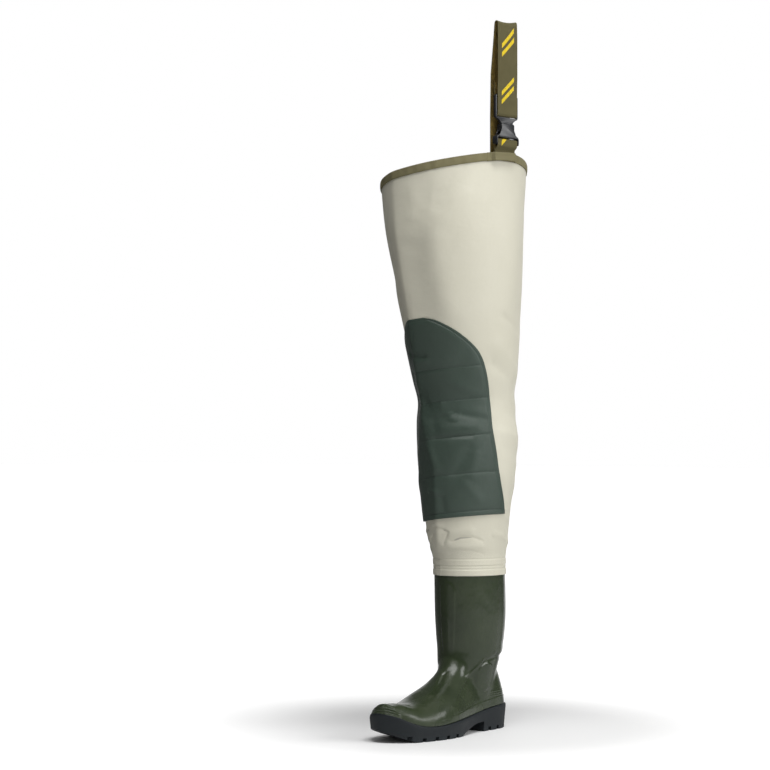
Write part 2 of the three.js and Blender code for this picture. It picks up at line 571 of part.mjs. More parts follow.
// Knee pad: a shell between two larger forms of the leg, thin along its cross seams and its edge, cut to
// the pad's outline by a fan of wedges that opens as wide as the outline at each height
function kneePad() {
  const tall = PAD_TOP - PAD_BOTTOM;
  const seams = PAD_SEAMS.map((share) => PAD_BOTTOM + share * tall);
  const spread = (z) => row(PAD, 'up', clamp01((z - PAD_BOTTOM) / tall)).spread;
  const thickness = (az, z) => {
    const fromSeam = Math.min(...seams.map((seam) => Math.abs(z - seam)));
    const from = Math.atan2(Math.sin(az - PAD_ANGLE * RAD), Math.cos(az - PAD_ANGLE * RAD)) / RAD;
    const rim = ease((spread(z) - Math.abs(from)) / 12) * ease((PAD_TOP - z) / 20);
    return mix(PAD_EDGE, mix(PAD_SEAM, PAD_THICK, ease(fromSeam / (2 * SEAM_HALF))), rim);
  };
  const bySeams = seams.flatMap((seam) => [seam - 2 * SEAM_HALF, seam, seam + 2 * SEAM_HALF]);
  const between = seams.map((seam, i) => mix(seam, seams[i + 1] ?? PAD_TOP, 0.5));
  const byTop = [PAD_TOP - 22, PAD_TOP - 6, PAD_HIGHEST];
  const outer = [PAD_LOWEST, ...bySeams, ...between, ...byTop].sort((a, b) => a - b);
  const rising = (az, z) => z + PAD_SLOPE * legPoint(az, z, 0)[0];
  const face = (az, z) => legPoint(az, rising(az, z), CLEAR + thickness(az, z));
  const shell = solid(loft([
    ...outer.map((z) => around((j) => face(legAz(j), z))),
    ...[...PAD_LEVELS].reverse().map((z) => around((j) => legPoint(legAz(j), z, CLEAR))),
  ], true));
  const wedge = (z) => {
    const core = [legPoint(0, z, 0)[0], legPoint(Math.PI / 2, z, 0)[1], rising(0, z)];
    const away = (share, far) => {
      const az = (PAD_ANGLE + share * spread(z)) * RAD;
      return legPoint(az, rising(az, z), far);
    };
    const arc = Array.from({ length: 17 }, (_, i) => away(mix(-1, 1, i / 16), COLLAR_HALF_WIDTH));
    return [core, away(-1, 0), ...arc, away(1, 0)];
  };
  const pole = (z) => {
    const [[x, y, height]] = wedge(z);
    const [dx, dy] = direction(PAD_ANGLE * RAD);
    return [[x + dx, y + dy, height]];
  };
  const heights = PAD.map(({ up }) => PAD_BOTTOM + up * tall);
  const fan = solid(loft([pole(PAD_BOTTOM), ...heights.map(wedge), pole(PAD_TOP)]));
  return shapeOf(shell.intersect(fan));
}

// Binding: a folded tape over the collar's edge, down both faces
function collarBinding() {
  const face = CLEAR + BINDING_THICK;
  const ring = (out, up) => around((j) => {
    const az = legAz(j);
    const height = collarHeight(az);
    const [x, y] = legPoint(az, height + Math.min(up, 0), out);
    return [x, y, height + up];
  });
  return loft([
    ring(face, -BINDING_HEIGHT), ring(face, face), ring(-LEG_WALL - face, face),
    ring(-LEG_WALL - face, -BINDING_HEIGHT), ring(-LEG_WALL - CLEAR, -BINDING_HEIGHT),
    ring(-LEG_WALL - CLEAR, CLEAR), ring(CLEAR, CLEAR), ring(CLEAR, -BINDING_HEIGHT),
  ], true);
}

// Webbing seen edge-on: an outline half the thickness to each side of a path in (out, up)
function ribbon(path, width) {
  const side = (sign) => path.map(([u, v], i) => {
    const [a, b] = [path[Math.max(i - 1, 0)], path[Math.min(i + 1, path.length - 1)]];
    const length = Math.hypot(b[0] - a[0], b[1] - a[1]);
    const half = (sign * WEB_THICK) / (2 * length);
    return [u - half * (b[1] - a[1]), v + half * (b[0] - a[0])];
  });
  return plate([...side(1), ...side(-1).reverse()], width, X, Z, Y.clone().negate());
}

const arc = (u, v, ru, rv, from, to, steps) => Array.from({ length: steps + 1 }, (_, i) => {
  const t = mix(from, to, i / steps) * RAD;
  return [u + ru * Math.cos(t), v + rv * Math.sin(t)];
});

const EDGE = collarHeight(STRAP_ANGLE * RAD);
const STRAP_TOP = EDGE + STRAP_RISE;
const BUCKLE_BOTTOM = EDGE + BUCKLE_RISE;
const HALF_WEB = WEB_THICK / 2;
const SAG = STRAP_WIDTH ** 2 / (8 * COLLAR_HALF_WIDTH);
const INSIDE = -(LEG_WALL + 3 * CLEAR + BINDING_THICK + SAG + HALF_WEB);
const FRONT = BUCKLE_OUT + FRAME_THICK / 2 + CLEAR + HALF_WEB;
const REAR = BUCKLE_OUT - FRAME_THICK / 2 - CLEAR - HALF_WEB;
const FRAME_BOTTOM = BUCKLE_BOTTOM + FEMALE_HEIGHT + NECK_HEIGHT;
const WRAP_UNDER = FRAME_BOTTOM + BAR / 2 + SLOT - CLEAR - HALF_WEB - BAR_ROUND;

// Strap: sewn inside the collar, up to the fold, down outside the buckle's frame, round its lower bar, and a
// short tail behind the frame
function strap() {
  const fold = STRAP_TOP - FOLD_HALF;
  const up = (share) => mix(EDGE, fold, share);
  return ribbon([
    [INSIDE, EDGE - STRAP_SEWN],
    [INSIDE, up(0.28)],
    [INSIDE + 1.5, up(0.62)],
    [FRONT - 9, up(0.9)],
    ...arc(FRONT - FOLD_HALF, fold, FOLD_HALF, FOLD_HALF - HALF_WEB, 180, 0, 6),
    [FRONT + 0.8, up(0.9)],
    [FRONT + 0.8, up(0.62)],
    [FRONT, up(0.45)],
    ...arc(BUCKLE_OUT, WRAP_UNDER + 3.5, FRONT - BUCKLE_OUT, 3.5, 0, -180, 8),
    [REAR, WRAP_UNDER + TAIL_LENGTH],
  ], STRAP_WIDTH);
}

// Tab: sewn outside the binding, up and over the buckle's lower bar and down again
function strapTab() {
  const near = CLEAR * 2 + BINDING_THICK + HALF_WEB;
  const far = near + WEB_THICK + CLEAR;
  const bar = BUCKLE_BOTTOM + BAR;
  return ribbon([
    [near, EDGE - STRAP_SEWN],
    [near, EDGE + 4],
    ...arc(BUCKLE_OUT, bar - 1, FRONT - BUCKLE_OUT, 1 + CLEAR + HALF_WEB + BAR_ROUND, 180, 0, 8),
    [FRONT - 0.4, BUCKLE_BOTTOM - 2],
    [far, EDGE + 5],
    [far, EDGE - STRAP_SEWN],
  ], STRAP_WIDTH);
}

const mirrored = (half) => [...half, ...half.map(([u, v]) => [-u, v]).reverse()];

// Female half: a wide foot with the tab's slot, curving in to a waist that is hollow for the tongue
function buckleFemale() {
  const [wide, waist, low] = [BUCKLE_WIDTH / 2, WAIST_WIDTH / 2, BUCKLE_BOTTOM];
  const top = low + FEMALE_HEIGHT;
  const outline = mirrored([
    [wide - 3, low], [wide - 0.8, low + 1], [wide, low + 4], [wide, low + 11], [wide - 2, low + 14],
    [wide - 7, low + 17], [waist + 2, low + 21], [waist, low + 25], [waist, top - 2], [waist - 1.5, top],
  ]);
  const body = solid(plate(outline, FEMALE_THICK, Y, Z, X));
  const slotWide = STRAP_WIDTH + 2 * SLOT_SIDE;
  const thin = (FEMALE_THICK - FRAME_THICK) / 2;
  const cavityWide = TONGUE_WIDTH + 2 * CLEAR + 1;
  return shapeOf(cut(body, [
    block(FEMALE_THICK * 2, slotWide, SLOT, 0, 0, low + BAR + SLOT / 2),
    block(thin, slotWide, BAR * 3, FEMALE_THICK / 2 - thin / 2, 0, low + BAR / 2),
    block(thin, slotWide, BAR * 3, thin / 2 - FEMALE_THICK / 2, 0, low + BAR / 2),
    block(CAVITY_THICK, cavityWide, CAVITY_DEPTH * 2, 0, 0, top),
    block(CAVITY_THICK, WAIST_WIDTH * 2, WINDOW_HEIGHT, 0, 0, top - CAVITY_DEPTH / 2),
  ])).translate(BUCKLE_OUT, 0, 0);
}

// Male half: a ladder frame for the webbing, a neck, and a tongue with two prongs that fill the windows
function buckleMale() {
  const top = FRAME_BOTTOM + FRAME_HEIGHT;
  const wide = BUCKLE_WIDTH / 2;
  const slotWide = STRAP_WIDTH + 2 * SLOT_SIDE;
  const mouth = BUCKLE_BOTTOM + FEMALE_HEIGHT + CLEAR;
  const frame = solid(plate(mirrored([
    [WAIST_WIDTH / 2 - 1, mouth], [WAIST_WIDTH / 2, mouth + 3], [wide - 6, FRAME_BOTTOM - 1],
    [wide - 1, FRAME_BOTTOM + 1], [wide, FRAME_BOTTOM + 4], [wide, top - 3], [wide - 3, top],
  ]), FRAME_THICK, Y, Z, X));
  const wrapBar = FRAME_BOTTOM + BAR / 2 + SLOT;
  const window = [wrapBar + BAR, top - BAR];
  const thick = CAVITY_THICK - 2 * CLEAR;
  const low = BUCKLE_BOTTOM + FEMALE_HEIGHT - CAVITY_DEPTH + 1;
  const prongMiddle = (TONGUE_WIDTH - PRONG_WIDTH) / 2;
  const [catchWide, catchTall] = [(WAIST_WIDTH - PRONG_WIDTH) / 2 - CLEAR, WINDOW_HEIGHT - 2 * CLEAR];
  const prongs = [-1, 1].flatMap((side) => [
    block(thick, PRONG_WIDTH, mouth + 1 - low, 0, side * prongMiddle, (mouth + 1 + low) / 2),
    block(thick, PRONG_WIDTH, catchTall, 0, side * catchWide, mouth - CLEAR - CAVITY_DEPTH / 2),
  ]);
  const slotted = cut(frame, [
    block(FRAME_THICK * 2, slotWide, SLOT, 0, 0, wrapBar - SLOT / 2),
    block(FRAME_THICK * 2, slotWide, window[1] - window[0], 0, 0, (window[0] + window[1]) / 2),
  ]);
  return shapeOf(join([slotted, ...prongs])).translate(BUCKLE_OUT, 0, 0);
}

function piece(name, geometry, color, roughness, metalness = 0) {
  const shaded = geometry.index ? geometry.toNonIndexed() : geometry;
  shaded.computeVertexNormals();
  const mesh = new THREE.Mesh(shaded, new THREE.MeshStandardMaterial({ color, roughness, metalness }));
  mesh.name = name;
  return mesh;
}

const OLIVE_WEB = 0x6f6a45;
const BLACK_PLASTIC = 0x14161a;

const wader = new THREE.Group();
wader.add(
  piece('outsole', outsole(), 0x30353a, 0.7),
  piece('insole', insole(), 0x4a4d48, 0.9),
  piece('boot_upper', bootUpper(), 0x2e3a26, 0.25),
  piece('leg', leg(), 0xb9b5a4, 0.6),
  piece('knee_pad', kneePad(), 0x2f4036, 0.5),
  piece('collar_binding', collarBinding(), OLIVE_WEB, 0.85),
);

// The strap, its tab and the buckle hang together at the collar's outer side
const hanger = new THREE.Group();
const [hangX, hangY] = legPoint(STRAP_ANGLE * RAD, EDGE, 0);
hanger.position.set(hangX, hangY, 0);
hanger.rotation.z = STRAP_TURN_ANGLE * RAD;
hanger.add(
  piece('strap', strap(), OLIVE_WEB, 0.85),
  piece('strap_tab', strapTab(), OLIVE_WEB, 0.85),
  piece('buckle_female', buckleFemale(), BLACK_PLASTIC, 0.35),
  piece('buckle_male', buckleMale(), BLACK_PLASTIC, 0.35),
);
wader.add(hanger);

export default wader;
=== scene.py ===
"""Looks of a hip wader for the left leg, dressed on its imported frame.

Forms are worked out in millimetres, in the frame's axes: +Z up, toe to -Y, outer side of the left leg to +X.
Angles run round the leg from the toe, positive towards the outer side. Surfaces are grids of points from
numpy, and MM turns them into metres when they become meshes.
"""

import bmesh
import bpy
import numpy as np
from mathutils import Matrix, Vector


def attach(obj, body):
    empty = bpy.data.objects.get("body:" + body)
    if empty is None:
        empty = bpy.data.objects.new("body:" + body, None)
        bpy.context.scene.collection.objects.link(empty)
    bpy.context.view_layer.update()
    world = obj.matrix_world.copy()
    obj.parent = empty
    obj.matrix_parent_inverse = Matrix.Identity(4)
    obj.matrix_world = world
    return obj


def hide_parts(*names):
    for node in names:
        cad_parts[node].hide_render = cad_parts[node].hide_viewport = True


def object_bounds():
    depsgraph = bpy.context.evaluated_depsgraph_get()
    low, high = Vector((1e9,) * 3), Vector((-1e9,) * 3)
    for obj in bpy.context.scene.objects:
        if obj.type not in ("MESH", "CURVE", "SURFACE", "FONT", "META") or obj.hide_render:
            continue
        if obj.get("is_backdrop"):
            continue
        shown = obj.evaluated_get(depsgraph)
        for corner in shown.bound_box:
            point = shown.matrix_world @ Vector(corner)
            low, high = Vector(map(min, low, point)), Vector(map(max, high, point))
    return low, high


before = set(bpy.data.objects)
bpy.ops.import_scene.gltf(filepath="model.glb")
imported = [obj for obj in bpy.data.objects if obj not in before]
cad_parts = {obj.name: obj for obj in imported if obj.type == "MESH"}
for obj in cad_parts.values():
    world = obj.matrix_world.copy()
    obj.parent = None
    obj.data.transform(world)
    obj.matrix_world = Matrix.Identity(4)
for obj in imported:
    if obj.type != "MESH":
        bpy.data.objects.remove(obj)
cad_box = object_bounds()

MM = 0.001
MERGE_DISTANCE = 1e-6  # metres
FLAT_ANGLE = 1  # degrees under which faces count as one flat

# Sole
SOLE_LENGTH = 310
SOLE_HALF_WIDTH = 56
HEEL_BACK = 47  # from the origin back to the heel's rear edge
HEEL_RIM = 41  # height of the sole's top edge at the heel
TOE_SPRING = 22
SPRING_TURN = 25  # how far the toe spring's bend is turned from straight across, in degrees
SPRING_START = 178  # forward of the origin, as is its end, square to the bend
SPRING_END = 244
SPRING_POWER = 1.3
HEEL_BREAST = 40
ARCH_END = 116
ARCH_RISE = 17
TREAD_INSET = 3
RIM_LIP = 7
SEAT_RING = 0.8
SEAT_CLEAR = 0.92
LUG_DEPTH = 6.5
LUG_GAP = 7
LUG_PITCH = 25
LUG_COUNT = 5
FIRST_LUG_GAP = 232
LUG_REACH = 20
HEEL_GAP_PITCH = 23
HEEL_GAP_REACH = 15
RIB_CHANNEL = 17
CUT_OVER = 12

# Boot
CLEAR = 0.3
BOOT_WALL = 2.8
BOOT_TOP = 278
SHAFT_HALF_WIDTH = 56
SHAFT_HALF_LENGTH = 66
INSTEP_HEIGHT = 100
FEATHER_INSET = 3.5
ARCH_POWER = 2.4
SHAFT_FILLET = 5
INSTEP_FILLET = 24
FADE_HEIGHT = 110
LEVEL_BASE = 22
HEEL_TUCK = 6

# Leg
LEG_WALL = 1.2
LEG_RADIUS = 75  # on average, for the lie of its weave, as is the next
COLLAR_RADIUS = 120
LEG_BOTTOM = 260
HUG_FADE = 30
LEG_HEIGHT = 931
COLLAR_HALF_WIDTH = 113
COLLAR_LEAN = 58
COLLAR_TILT = 24
COLLAR_PEAK = 4
PEAK_ANGLE = 88
PEAK_ANGLE_SPREAD = 35
LEVEL_LEG = 700
CREASE_ANGLE = 14
CREASE_ROUND = 2.5  # degrees over which the front crease is rounded

# Knee pad
PAD_BOTTOM = 355
PAD_TOP = 688
PAD_SLOPE = 0.12
PAD_ANGLE = -8
PAD_THICK = 3.8
PAD_EDGE = 1.6
PAD_SEAM = 1.3  # how far a welded seam sinks into the padding
PAD_HEM = 5.5  # from the pad's edge to the weld line inside it

# Binding, webbing and buckle
BINDING_HEIGHT = 12.5
BINDING_THICK = 1.2
STRAP_ANGLE = 82
STRAP_TURN = -8.5
STRAP_WIDTH = 46
WEB_THICK = 1.8
STRAP_RISE = 213
FOLD_HALF = 3.4
STRAP_SEWN = 13
TAIL_LENGTH = 52
BUCKLE_OUT = 7
BUCKLE_RISE = 12
BAR = 5.5
SLOT = 6.5
BAR_ROUND = 1.2
FEMALE_HEIGHT = 35
NECK_HEIGHT = 8
FRAME_THICK = 5


def table(names, *rows):
    """A short table as a dict of columns."""
    return {name: np.array(column, float) for name, column in zip(names.split(), zip(*rows))}


# Sole and foot from the heel's rear edge to the toe, as shares: at of SOLE_LENGTH, inner and outer half
# widths of SOLE_HALF_WIDTH, rim of HEEL_RIM, and top, the foot's height over the rim, of INSTEP_HEIGHT
FOOT = table(
    "at inner outer rim top",
    (0.00, 0.00, 0.00, 1.00, 0.66),
    (0.03, 0.49, 0.51, 1.00, 0.86),
    (0.08, 0.66, 0.69, 1.00, 0.98),
    (0.16, 0.72, 0.76, 0.965, 1.045),
    (0.26, 0.67, 0.75, 0.89, 1.07),
    (0.36, 0.59, 0.78, 0.79, 1.005),
    (0.46, 0.62, 0.89, 0.73, 0.825),
    (0.56, 0.77, 0.99, 0.67, 0.63),
    (0.66, 0.94, 1.00, 0.59, 0.50),
    (0.74, 1.01, 0.93, 0.56, 0.40),
    (0.82, 0.99, 0.81, 0.61, 0.335),
    (0.89, 0.89, 0.66, 0.77, 0.325),
    (0.95, 0.67, 0.38, 1.02, 0.225),
    (0.985, 0.43, 0.10, 1.13, 0.205),
    (1.00, 0.16, -0.16, 1.18, 0.145),
)

# Shaft sections, as shares: at of BOOT_TOP, wide of SHAFT_HALF_WIDTH, long and shift (forward) of
# SHAFT_HALF_LENGTH, and core, where the rays start, forward, of SOLE_LENGTH
SHAFT = table(
    "at wide long shift core",
    (0.08, 0.70, 0.76, 0.46, 0.325),
    (0.12, 0.71, 0.77, 0.46, 0.325),
    (0.22, 0.75, 0.80, 0.46, 0.290),
    (0.32, 0.80, 0.86, 0.46, 0.210),
    (0.40, 0.84, 0.90, 0.44, 0.130),
    (0.49, 0.91, 0.94, 0.37, 0.085),
    (0.58, 0.97, 0.97, 0.35, 0.080),
    (0.72, 1.01, 1.00, 0.345, 0.080),
    (1.00, 1.00, 1.00, 0.38, 0.080),
)

# Leg sections, as shares: at of LEG_HEIGHT, wide and long of COLLAR_HALF_WIDTH, lean (forward) and into
# (towards the inner side) of COLLAR_LEAN. turn is where the front crease stands, in degrees from the toe
# towards the inner side, and crease is how far it stands out.
LEG = table(
    "at wide long lean into turn crease",
    (0.278, 0.509, 0.597, 0.43, 0.00, 0, 0.000),
    (0.310, 0.513, 0.607, 0.46, 0.00, 3, 0.010),
    (0.343, 0.550, 0.645, 0.51, 0.00, 3, 0.030),
    (0.412, 0.628, 0.703, 0.52, 0.00, 0, 0.030),
    (0.484, 0.686, 0.766, 0.46, 0.00, 5, 0.035),
    (0.520, 0.695, 0.772, 0.47, 0.00, 12, 0.040),
    (0.557, 0.675, 0.752, 0.48, 0.02, 18, 0.045),
    (0.592, 0.650, 0.722, 0.50, 0.02, 20, 0.050),
    (0.628, 0.697, 0.780, 0.55, 0.03, 16, 0.045),
    (0.700, 0.783, 0.885, 0.66, 0.05, 10, 0.035),
    (0.808, 0.894, 1.027, 0.83, 0.07, 10, 0.035),
    (0.900, 0.969, 1.115, 0.97, 0.10, 10, 0.030),
    (1.000, 1.000, 1.150, 1.00, 0.14, 10, 0.025),
    (1.060, 1.003, 1.150, 1.00, 0.14, 10, 0.020),
)

# Outline of the knee pad: up as a share of its height, half its spread round the leg in degrees
PAD = table(
    "at spread",
    (0.00, 107),
    (0.08, 99),
    (0.19, 87),
    (0.29, 81),
    (0.42, 76),
    (0.55, 75),
    (0.71, 69),
    (0.81, 60),
    (0.90, 42),
    (0.96, 26),
    (0.985, 17),
    (1.00, 8),
)

# Welded cross seams of the pad, as shares of its height, the lowest being its hem
PAD_SEAMS = (0.025, 0.212, 0.399, 0.583, 0.742)


def mix(a, b, t):
    """The straight line from a at t = 0 to b at t = 1."""
    return a + (b - a) * t


def ease(t):
    """A soft step: 0 up to t = 0, 1 from t = 1, and 3t² - 2t³ between."""
    t = np.clip(t, 0, 1)
    return t * t * (3 - 2 * t)


def step(distance, width):
    """A soft step of the given width, half way up at distance 0."""
    return ease(distance / width + 0.5)


def hump(distance, width):
    """A soft hill: exp of minus the square of distance over width."""
    return np.exp(-((distance / width) ** 2))


def turned(angle):
    """The same angle between minus and plus half a turn."""
    return np.arctan2(np.sin(angle), np.cos(angle))


def read(rows, at, measure=np.asarray):
    """Every column of a table at the given places: a cubic through its rows, whose slope at a row is that of
    the line through the row's neighbours."""
    x, q = measure(rows["at"]), measure(at)
    i = np.clip(np.searchsorted(x, q, side="right") - 1, 0, len(x) - 2)
    before, after = np.maximum(i - 1, 0), np.minimum(i + 2, len(x) - 1)
    span = x[i + 1] - x[i]
    t = np.clip((q - x[i]) / span, 0, 1)
    found = {}
    for name, v in rows.items():
        leaving = (v[i + 1] - v[before]) / (x[i + 1] - x[before]) * span
        arriving = (v[after] - v[i]) / (x[after] - x[i]) * span
        ends = mix(v[i], v[i + 1], ease(t))
        found[name] = ends + (t**3 - 2 * t**2 + t) * leaving + (t**3 - t**2) * arriving
    return found


def folds(rows, at, z, scale=1.0, period=360.0):
    """Listed folds: each row's height times a soft hill of the distance to the straight line from
    (from_at, from_z) to (to_at, to_z). Where rows meet, the highest ridge and the deepest valley count. at is
    an angle or a length that scale turns into millimetres, and it starts again after a period."""
    ridge = np.zeros(np.broadcast(at, z).shape)
    valley = np.zeros_like(ridge)
    for i in range(len(rows["height"])):
        across = ((at - rows["from_at"][i] + period / 2) % period - period / 2) * scale
        up = z - rows["from_z"][i]
        run = np.array([(rows["to_at"][i] - rows["from_at"][i]) * scale, rows["to_z"][i] - rows["from_z"][i]])
        along = np.clip((across * run[0] + up * run[1]) / (run @ run), 0, 1)
        away = np.hypot(across - along * run[0], up - along * run[1])
        height = rows["height"][i] * hump(away, rows["width"][i])
        ridge = np.maximum(ridge, height)
        valley = np.minimum(valley, height)
    return ridge + valley


def foot(share):
    """The foot's table at shares of the sole's length, read by the angle whose cosine runs along the sole, so
    that both ends are round."""
    return read(FOOT, np.clip(share, 0, 1), lambda s: np.arccos(1 - 2 * s))


def rim_height(y):
    """Height of the sole's top edge at y."""
    return foot((HEEL_BACK - y) / SOLE_LENGTH)["rim"] * HEEL_RIM


def leave(inside, core, az):
    """Distance from (0, core) along each angle at which a ray leaves a shape, found by halving."""
    low, high = np.zeros_like(az), np.full_like(az, SOLE_LENGTH)
    for _ in range(22):
        middle = (low + high) / 2
        within = inside(middle * np.sin(az), core - middle * np.cos(az))
        low, high = np.where(within, middle, low), np.where(within, high, middle)
    return low


SOLE_CORE = -SHAFT["core"][0] * SOLE_LENGTH


def sole_radius(az, inset):
    """The sole's outline, in by inset, seen along rays from its core."""

    def inside(x, y):
        share = (HEEL_BACK - inset - y) / (SOLE_LENGTH - 2 * inset)
        side = foot(share)
        half = SOLE_HALF_WIDTH - inset
        return (share > 0) & (share < 1) & (x > -side["inner"] * half) & (x < side["outer"] * half)

    return leave(inside, SOLE_CORE, az)


def seat(az, radius):
    """Height of the sole's top face: the rim's height at the core, at a middle ring and at the edge, and
    straight between them."""
    edge = sole_radius(az, 0)

    def level(share):
        return rim_height(SOLE_CORE - share * edge * np.cos(az))

    share = radius / edge
    outer = mix(level(SEAT_RING), level(1), (share - SEAT_RING) / (1 - SEAT_RING))
    return np.where(share < SEAT_RING, mix(level(0), level(SEAT_RING), share / SEAT_RING), outer)


def around_core(az, radius, core, z):
    """Points at angles and distances round (0, core), at heights z."""
    return np.stack(np.broadcast_arrays(radius * np.sin(az), core - radius * np.cos(az), z), axis=-1)


def boot_radius(az, height, inset):
    """Outer form of the boot at a height over the rim: the foot's arched section, whose half width shrinks by
    the root of 1 - up^ARCH_POWER, and the shaft's ellipse, joined by a fillet that is wide at the instep."""
    shaft = read(SHAFT, (height + LEVEL_BASE) / BOOT_TOP)
    core = -shaft["core"] * SOLE_LENGTH
    back = HEEL_BACK - FEATHER_INSET - inset - HEEL_TUCK * ease(height / FADE_HEIGHT)
    toe = HEEL_BACK - SOLE_LENGTH + FEATHER_INSET + inset
    half = SOLE_HALF_WIDTH - FEATHER_INSET - inset

    def inside(x, y):
        share = (back - y) / (back - toe)
        side = foot(share)
        up = height / (side["top"] * INSTEP_HEIGHT - inset)
        arch = np.sqrt(np.clip(1 - np.clip(up, 0, 1) ** ARCH_POWER, 0, 1)) * half
        within = (share > 0) & (share < 1) & (up < 1) & (up >= 0)
        return within & (x > -side["inner"] * arch) & (x < side["outer"] * arch)

    low = leave(inside, core, az)
    a, b = shaft["wide"] * SHAFT_HALF_WIDTH - inset, shaft["long"] * SHAFT_HALF_LENGTH - inset
    offset = core + shaft["shift"] * SHAFT_HALF_LENGTH
    dx, dy = np.sin(az), -np.cos(az)
    square, half_linear = (dx / a) ** 2 + (dy / b) ** 2, dy * offset / b**2
    under = half_linear**2 - square * ((offset / b) ** 2 - 1)
    crossing = np.maximum((-half_linear + np.sqrt(np.maximum(under, 0))) / square, 0)
    tube = np.where(under > 0, crossing, 0)
    fillet = SHAFT_FILLET + INSTEP_FILLET * np.maximum(np.cos(az), 0) ** 2
    joined = np.maximum(low, tube) + np.maximum(fillet - np.abs(low - tube), 0) ** 2 / (4 * fillet)
    return joined, core


def collar_height(az):
    """Height of the collar's edge: a cosine tilt to the outer side, and a peak where the strap pulls."""
    away = turned(az - np.radians(PEAK_ANGLE))
    return LEG_HEIGHT + COLLAR_TILT * np.cos(away) + COLLAR_PEAK * hump(np.degrees(away), PEAK_ANGLE_SPREAD)


def leg_height(az, level):
    """Height of a ring of the leg: level low down, rising with the collar further up."""
    return level + (collar_height(az) - LEG_HEIGHT) * ease((level - LEVEL_LEG) / (LEG_HEIGHT - LEVEL_LEG))


def leg_point(az, z, out=0.0):
    """Outer face of the leg: an ellipse turned with the front crease, which stands out by an exponential of
    the angle to it, as a fainter one behind. Low down it hugs the boot's shaft."""
    az, z = np.broadcast_arrays(np.asarray(az, float), np.asarray(z, float))
    r = read(LEG, z / LEG_HEIGHT)
    off = az + np.radians(r["turn"])

    def ridge(angle):
        return np.exp(-np.hypot(np.degrees(turned(angle)), CREASE_ROUND) / CREASE_ANGLE)

    crease = ridge(off) + 0.5 * ridge(off + np.pi)
    a, b = r["wide"] * COLLAR_HALF_WIDTH, r["long"] * COLLAR_HALF_WIDTH
    radius = (1 + r["crease"] * crease) / np.hypot(np.sin(off) / a, np.cos(off) / b) + out
    x = radius * np.sin(az) - r["into"] * COLLAR_LEAN
    y = -radius * np.cos(az) - r["lean"] * COLLAR_LEAN
    shaft, core = boot_radius(az, np.minimum(z, BOOT_TOP) - LEVEL_BASE, 0)
    snug = shaft + CLEAR + LEG_WALL + out
    hug = around_core(az, snug, core, z)
    return mix(hug, np.stack([x, y, z], axis=-1), ease((z - BOOT_TOP) / HUG_FADE)[..., None])


# Meshes


def placed(name, data):
    """An object for some data, in the scene."""
    made = bpy.data.objects.new(name, data)
    bpy.context.scene.collection.objects.link(made)
    return made


def opened(mesh):
    """A mesh ready for work by bmesh."""
    work = bmesh.new()
    work.from_mesh(mesh)
    return work


def closed(work, mesh):
    """The mesh after the work on it."""
    work.to_mesh(mesh)
    work.free()
    return mesh


def grid_mesh(name, points, flat=None, loop=False, merge=False):
    """A mesh of quads from a grid of points [row, column, xyz] in millimetres: from each row to the next, and
    round again where loop is set, and from each column to the next and round again. flat gives each point's
    place on the uncut material, [row, column, uv] in metres, with one more column, and row where loop is set.
    merge joins points that coincide, which closes poles and seams."""
    rows, columns = points.shape[:2]
    index = np.arange(rows * columns).reshape(rows, columns)
    index = np.concatenate([index, index[:, :1]], axis=1)
    if loop:
        index = np.concatenate([index, index[:1]], axis=0)

    def corners(grid):
        return np.stack([grid[:-1, :-1], grid[:-1, 1:], grid[1:, 1:], grid[1:, :-1]], axis=2)

    quads = corners(index).reshape(-1, 4)
    mesh = bpy.data.meshes.new(name)
    mesh.vertices.add(rows * columns)
    mesh.vertices.foreach_set("co", (points * MM).astype(np.float32).ravel())
    mesh.loops.add(quads.size)
    mesh.loops.foreach_set("vertex_index", quads.ravel())
    mesh.polygons.add(len(quads))
    mesh.polygons.foreach_set("loop_start", np.arange(0, quads.size, 4))
    mesh.polygons.foreach_set("use_smooth", np.ones(len(quads), bool))
    if flat is not None:
        layer = mesh.uv_layers.new(name="flat")
        layer.data.foreach_set("uv", corners(flat).astype(np.float32).ravel())
    mesh.update(calc_edges=True)
    if merge:
        work = opened(mesh)
        bmesh.ops.remove_doubles(work, verts=work.verts, dist=MERGE_DISTANCE)
        closed(work, mesh)
    return mesh


def cushion(outer, under):
    """A ring of columns over an outer and an under face, with both ends shut against the under face."""
    back = under[:, ::-1]
    ring = np.concatenate([outer, back], axis=1)
    shut = np.concatenate([under, back], axis=1)
    return np.concatenate([shut[:1], ring, shut[-1:]])


def full_turn(az):
    """The angles with the first one again at the end, a full turn further."""
    return np.concatenate([az, az[:, :1] + 2 * np.pi], axis=1)


def add_piece(mesh, slot, *materials, stands_for=()):
    """An object for a mesh, riding on the frame, with its finish and the nodes that it stands for, which are
    hidden. slot is not used.
    """
    piece = placed(mesh.name, mesh)
    for material in materials:
        mesh.materials.append(material)
    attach(piece, "root")
    if stands_for:
        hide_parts(*stands_for)
    return piece


def round_angles(count, narrow=1.0):
    """Angles round the leg, crowded towards toe and heel where narrow is below 1."""
    t = np.linspace(0, 2 * np.pi, count, endpoint=False)
    return np.arctan2(np.sin(t) * narrow, np.cos(t))


# Shader maths


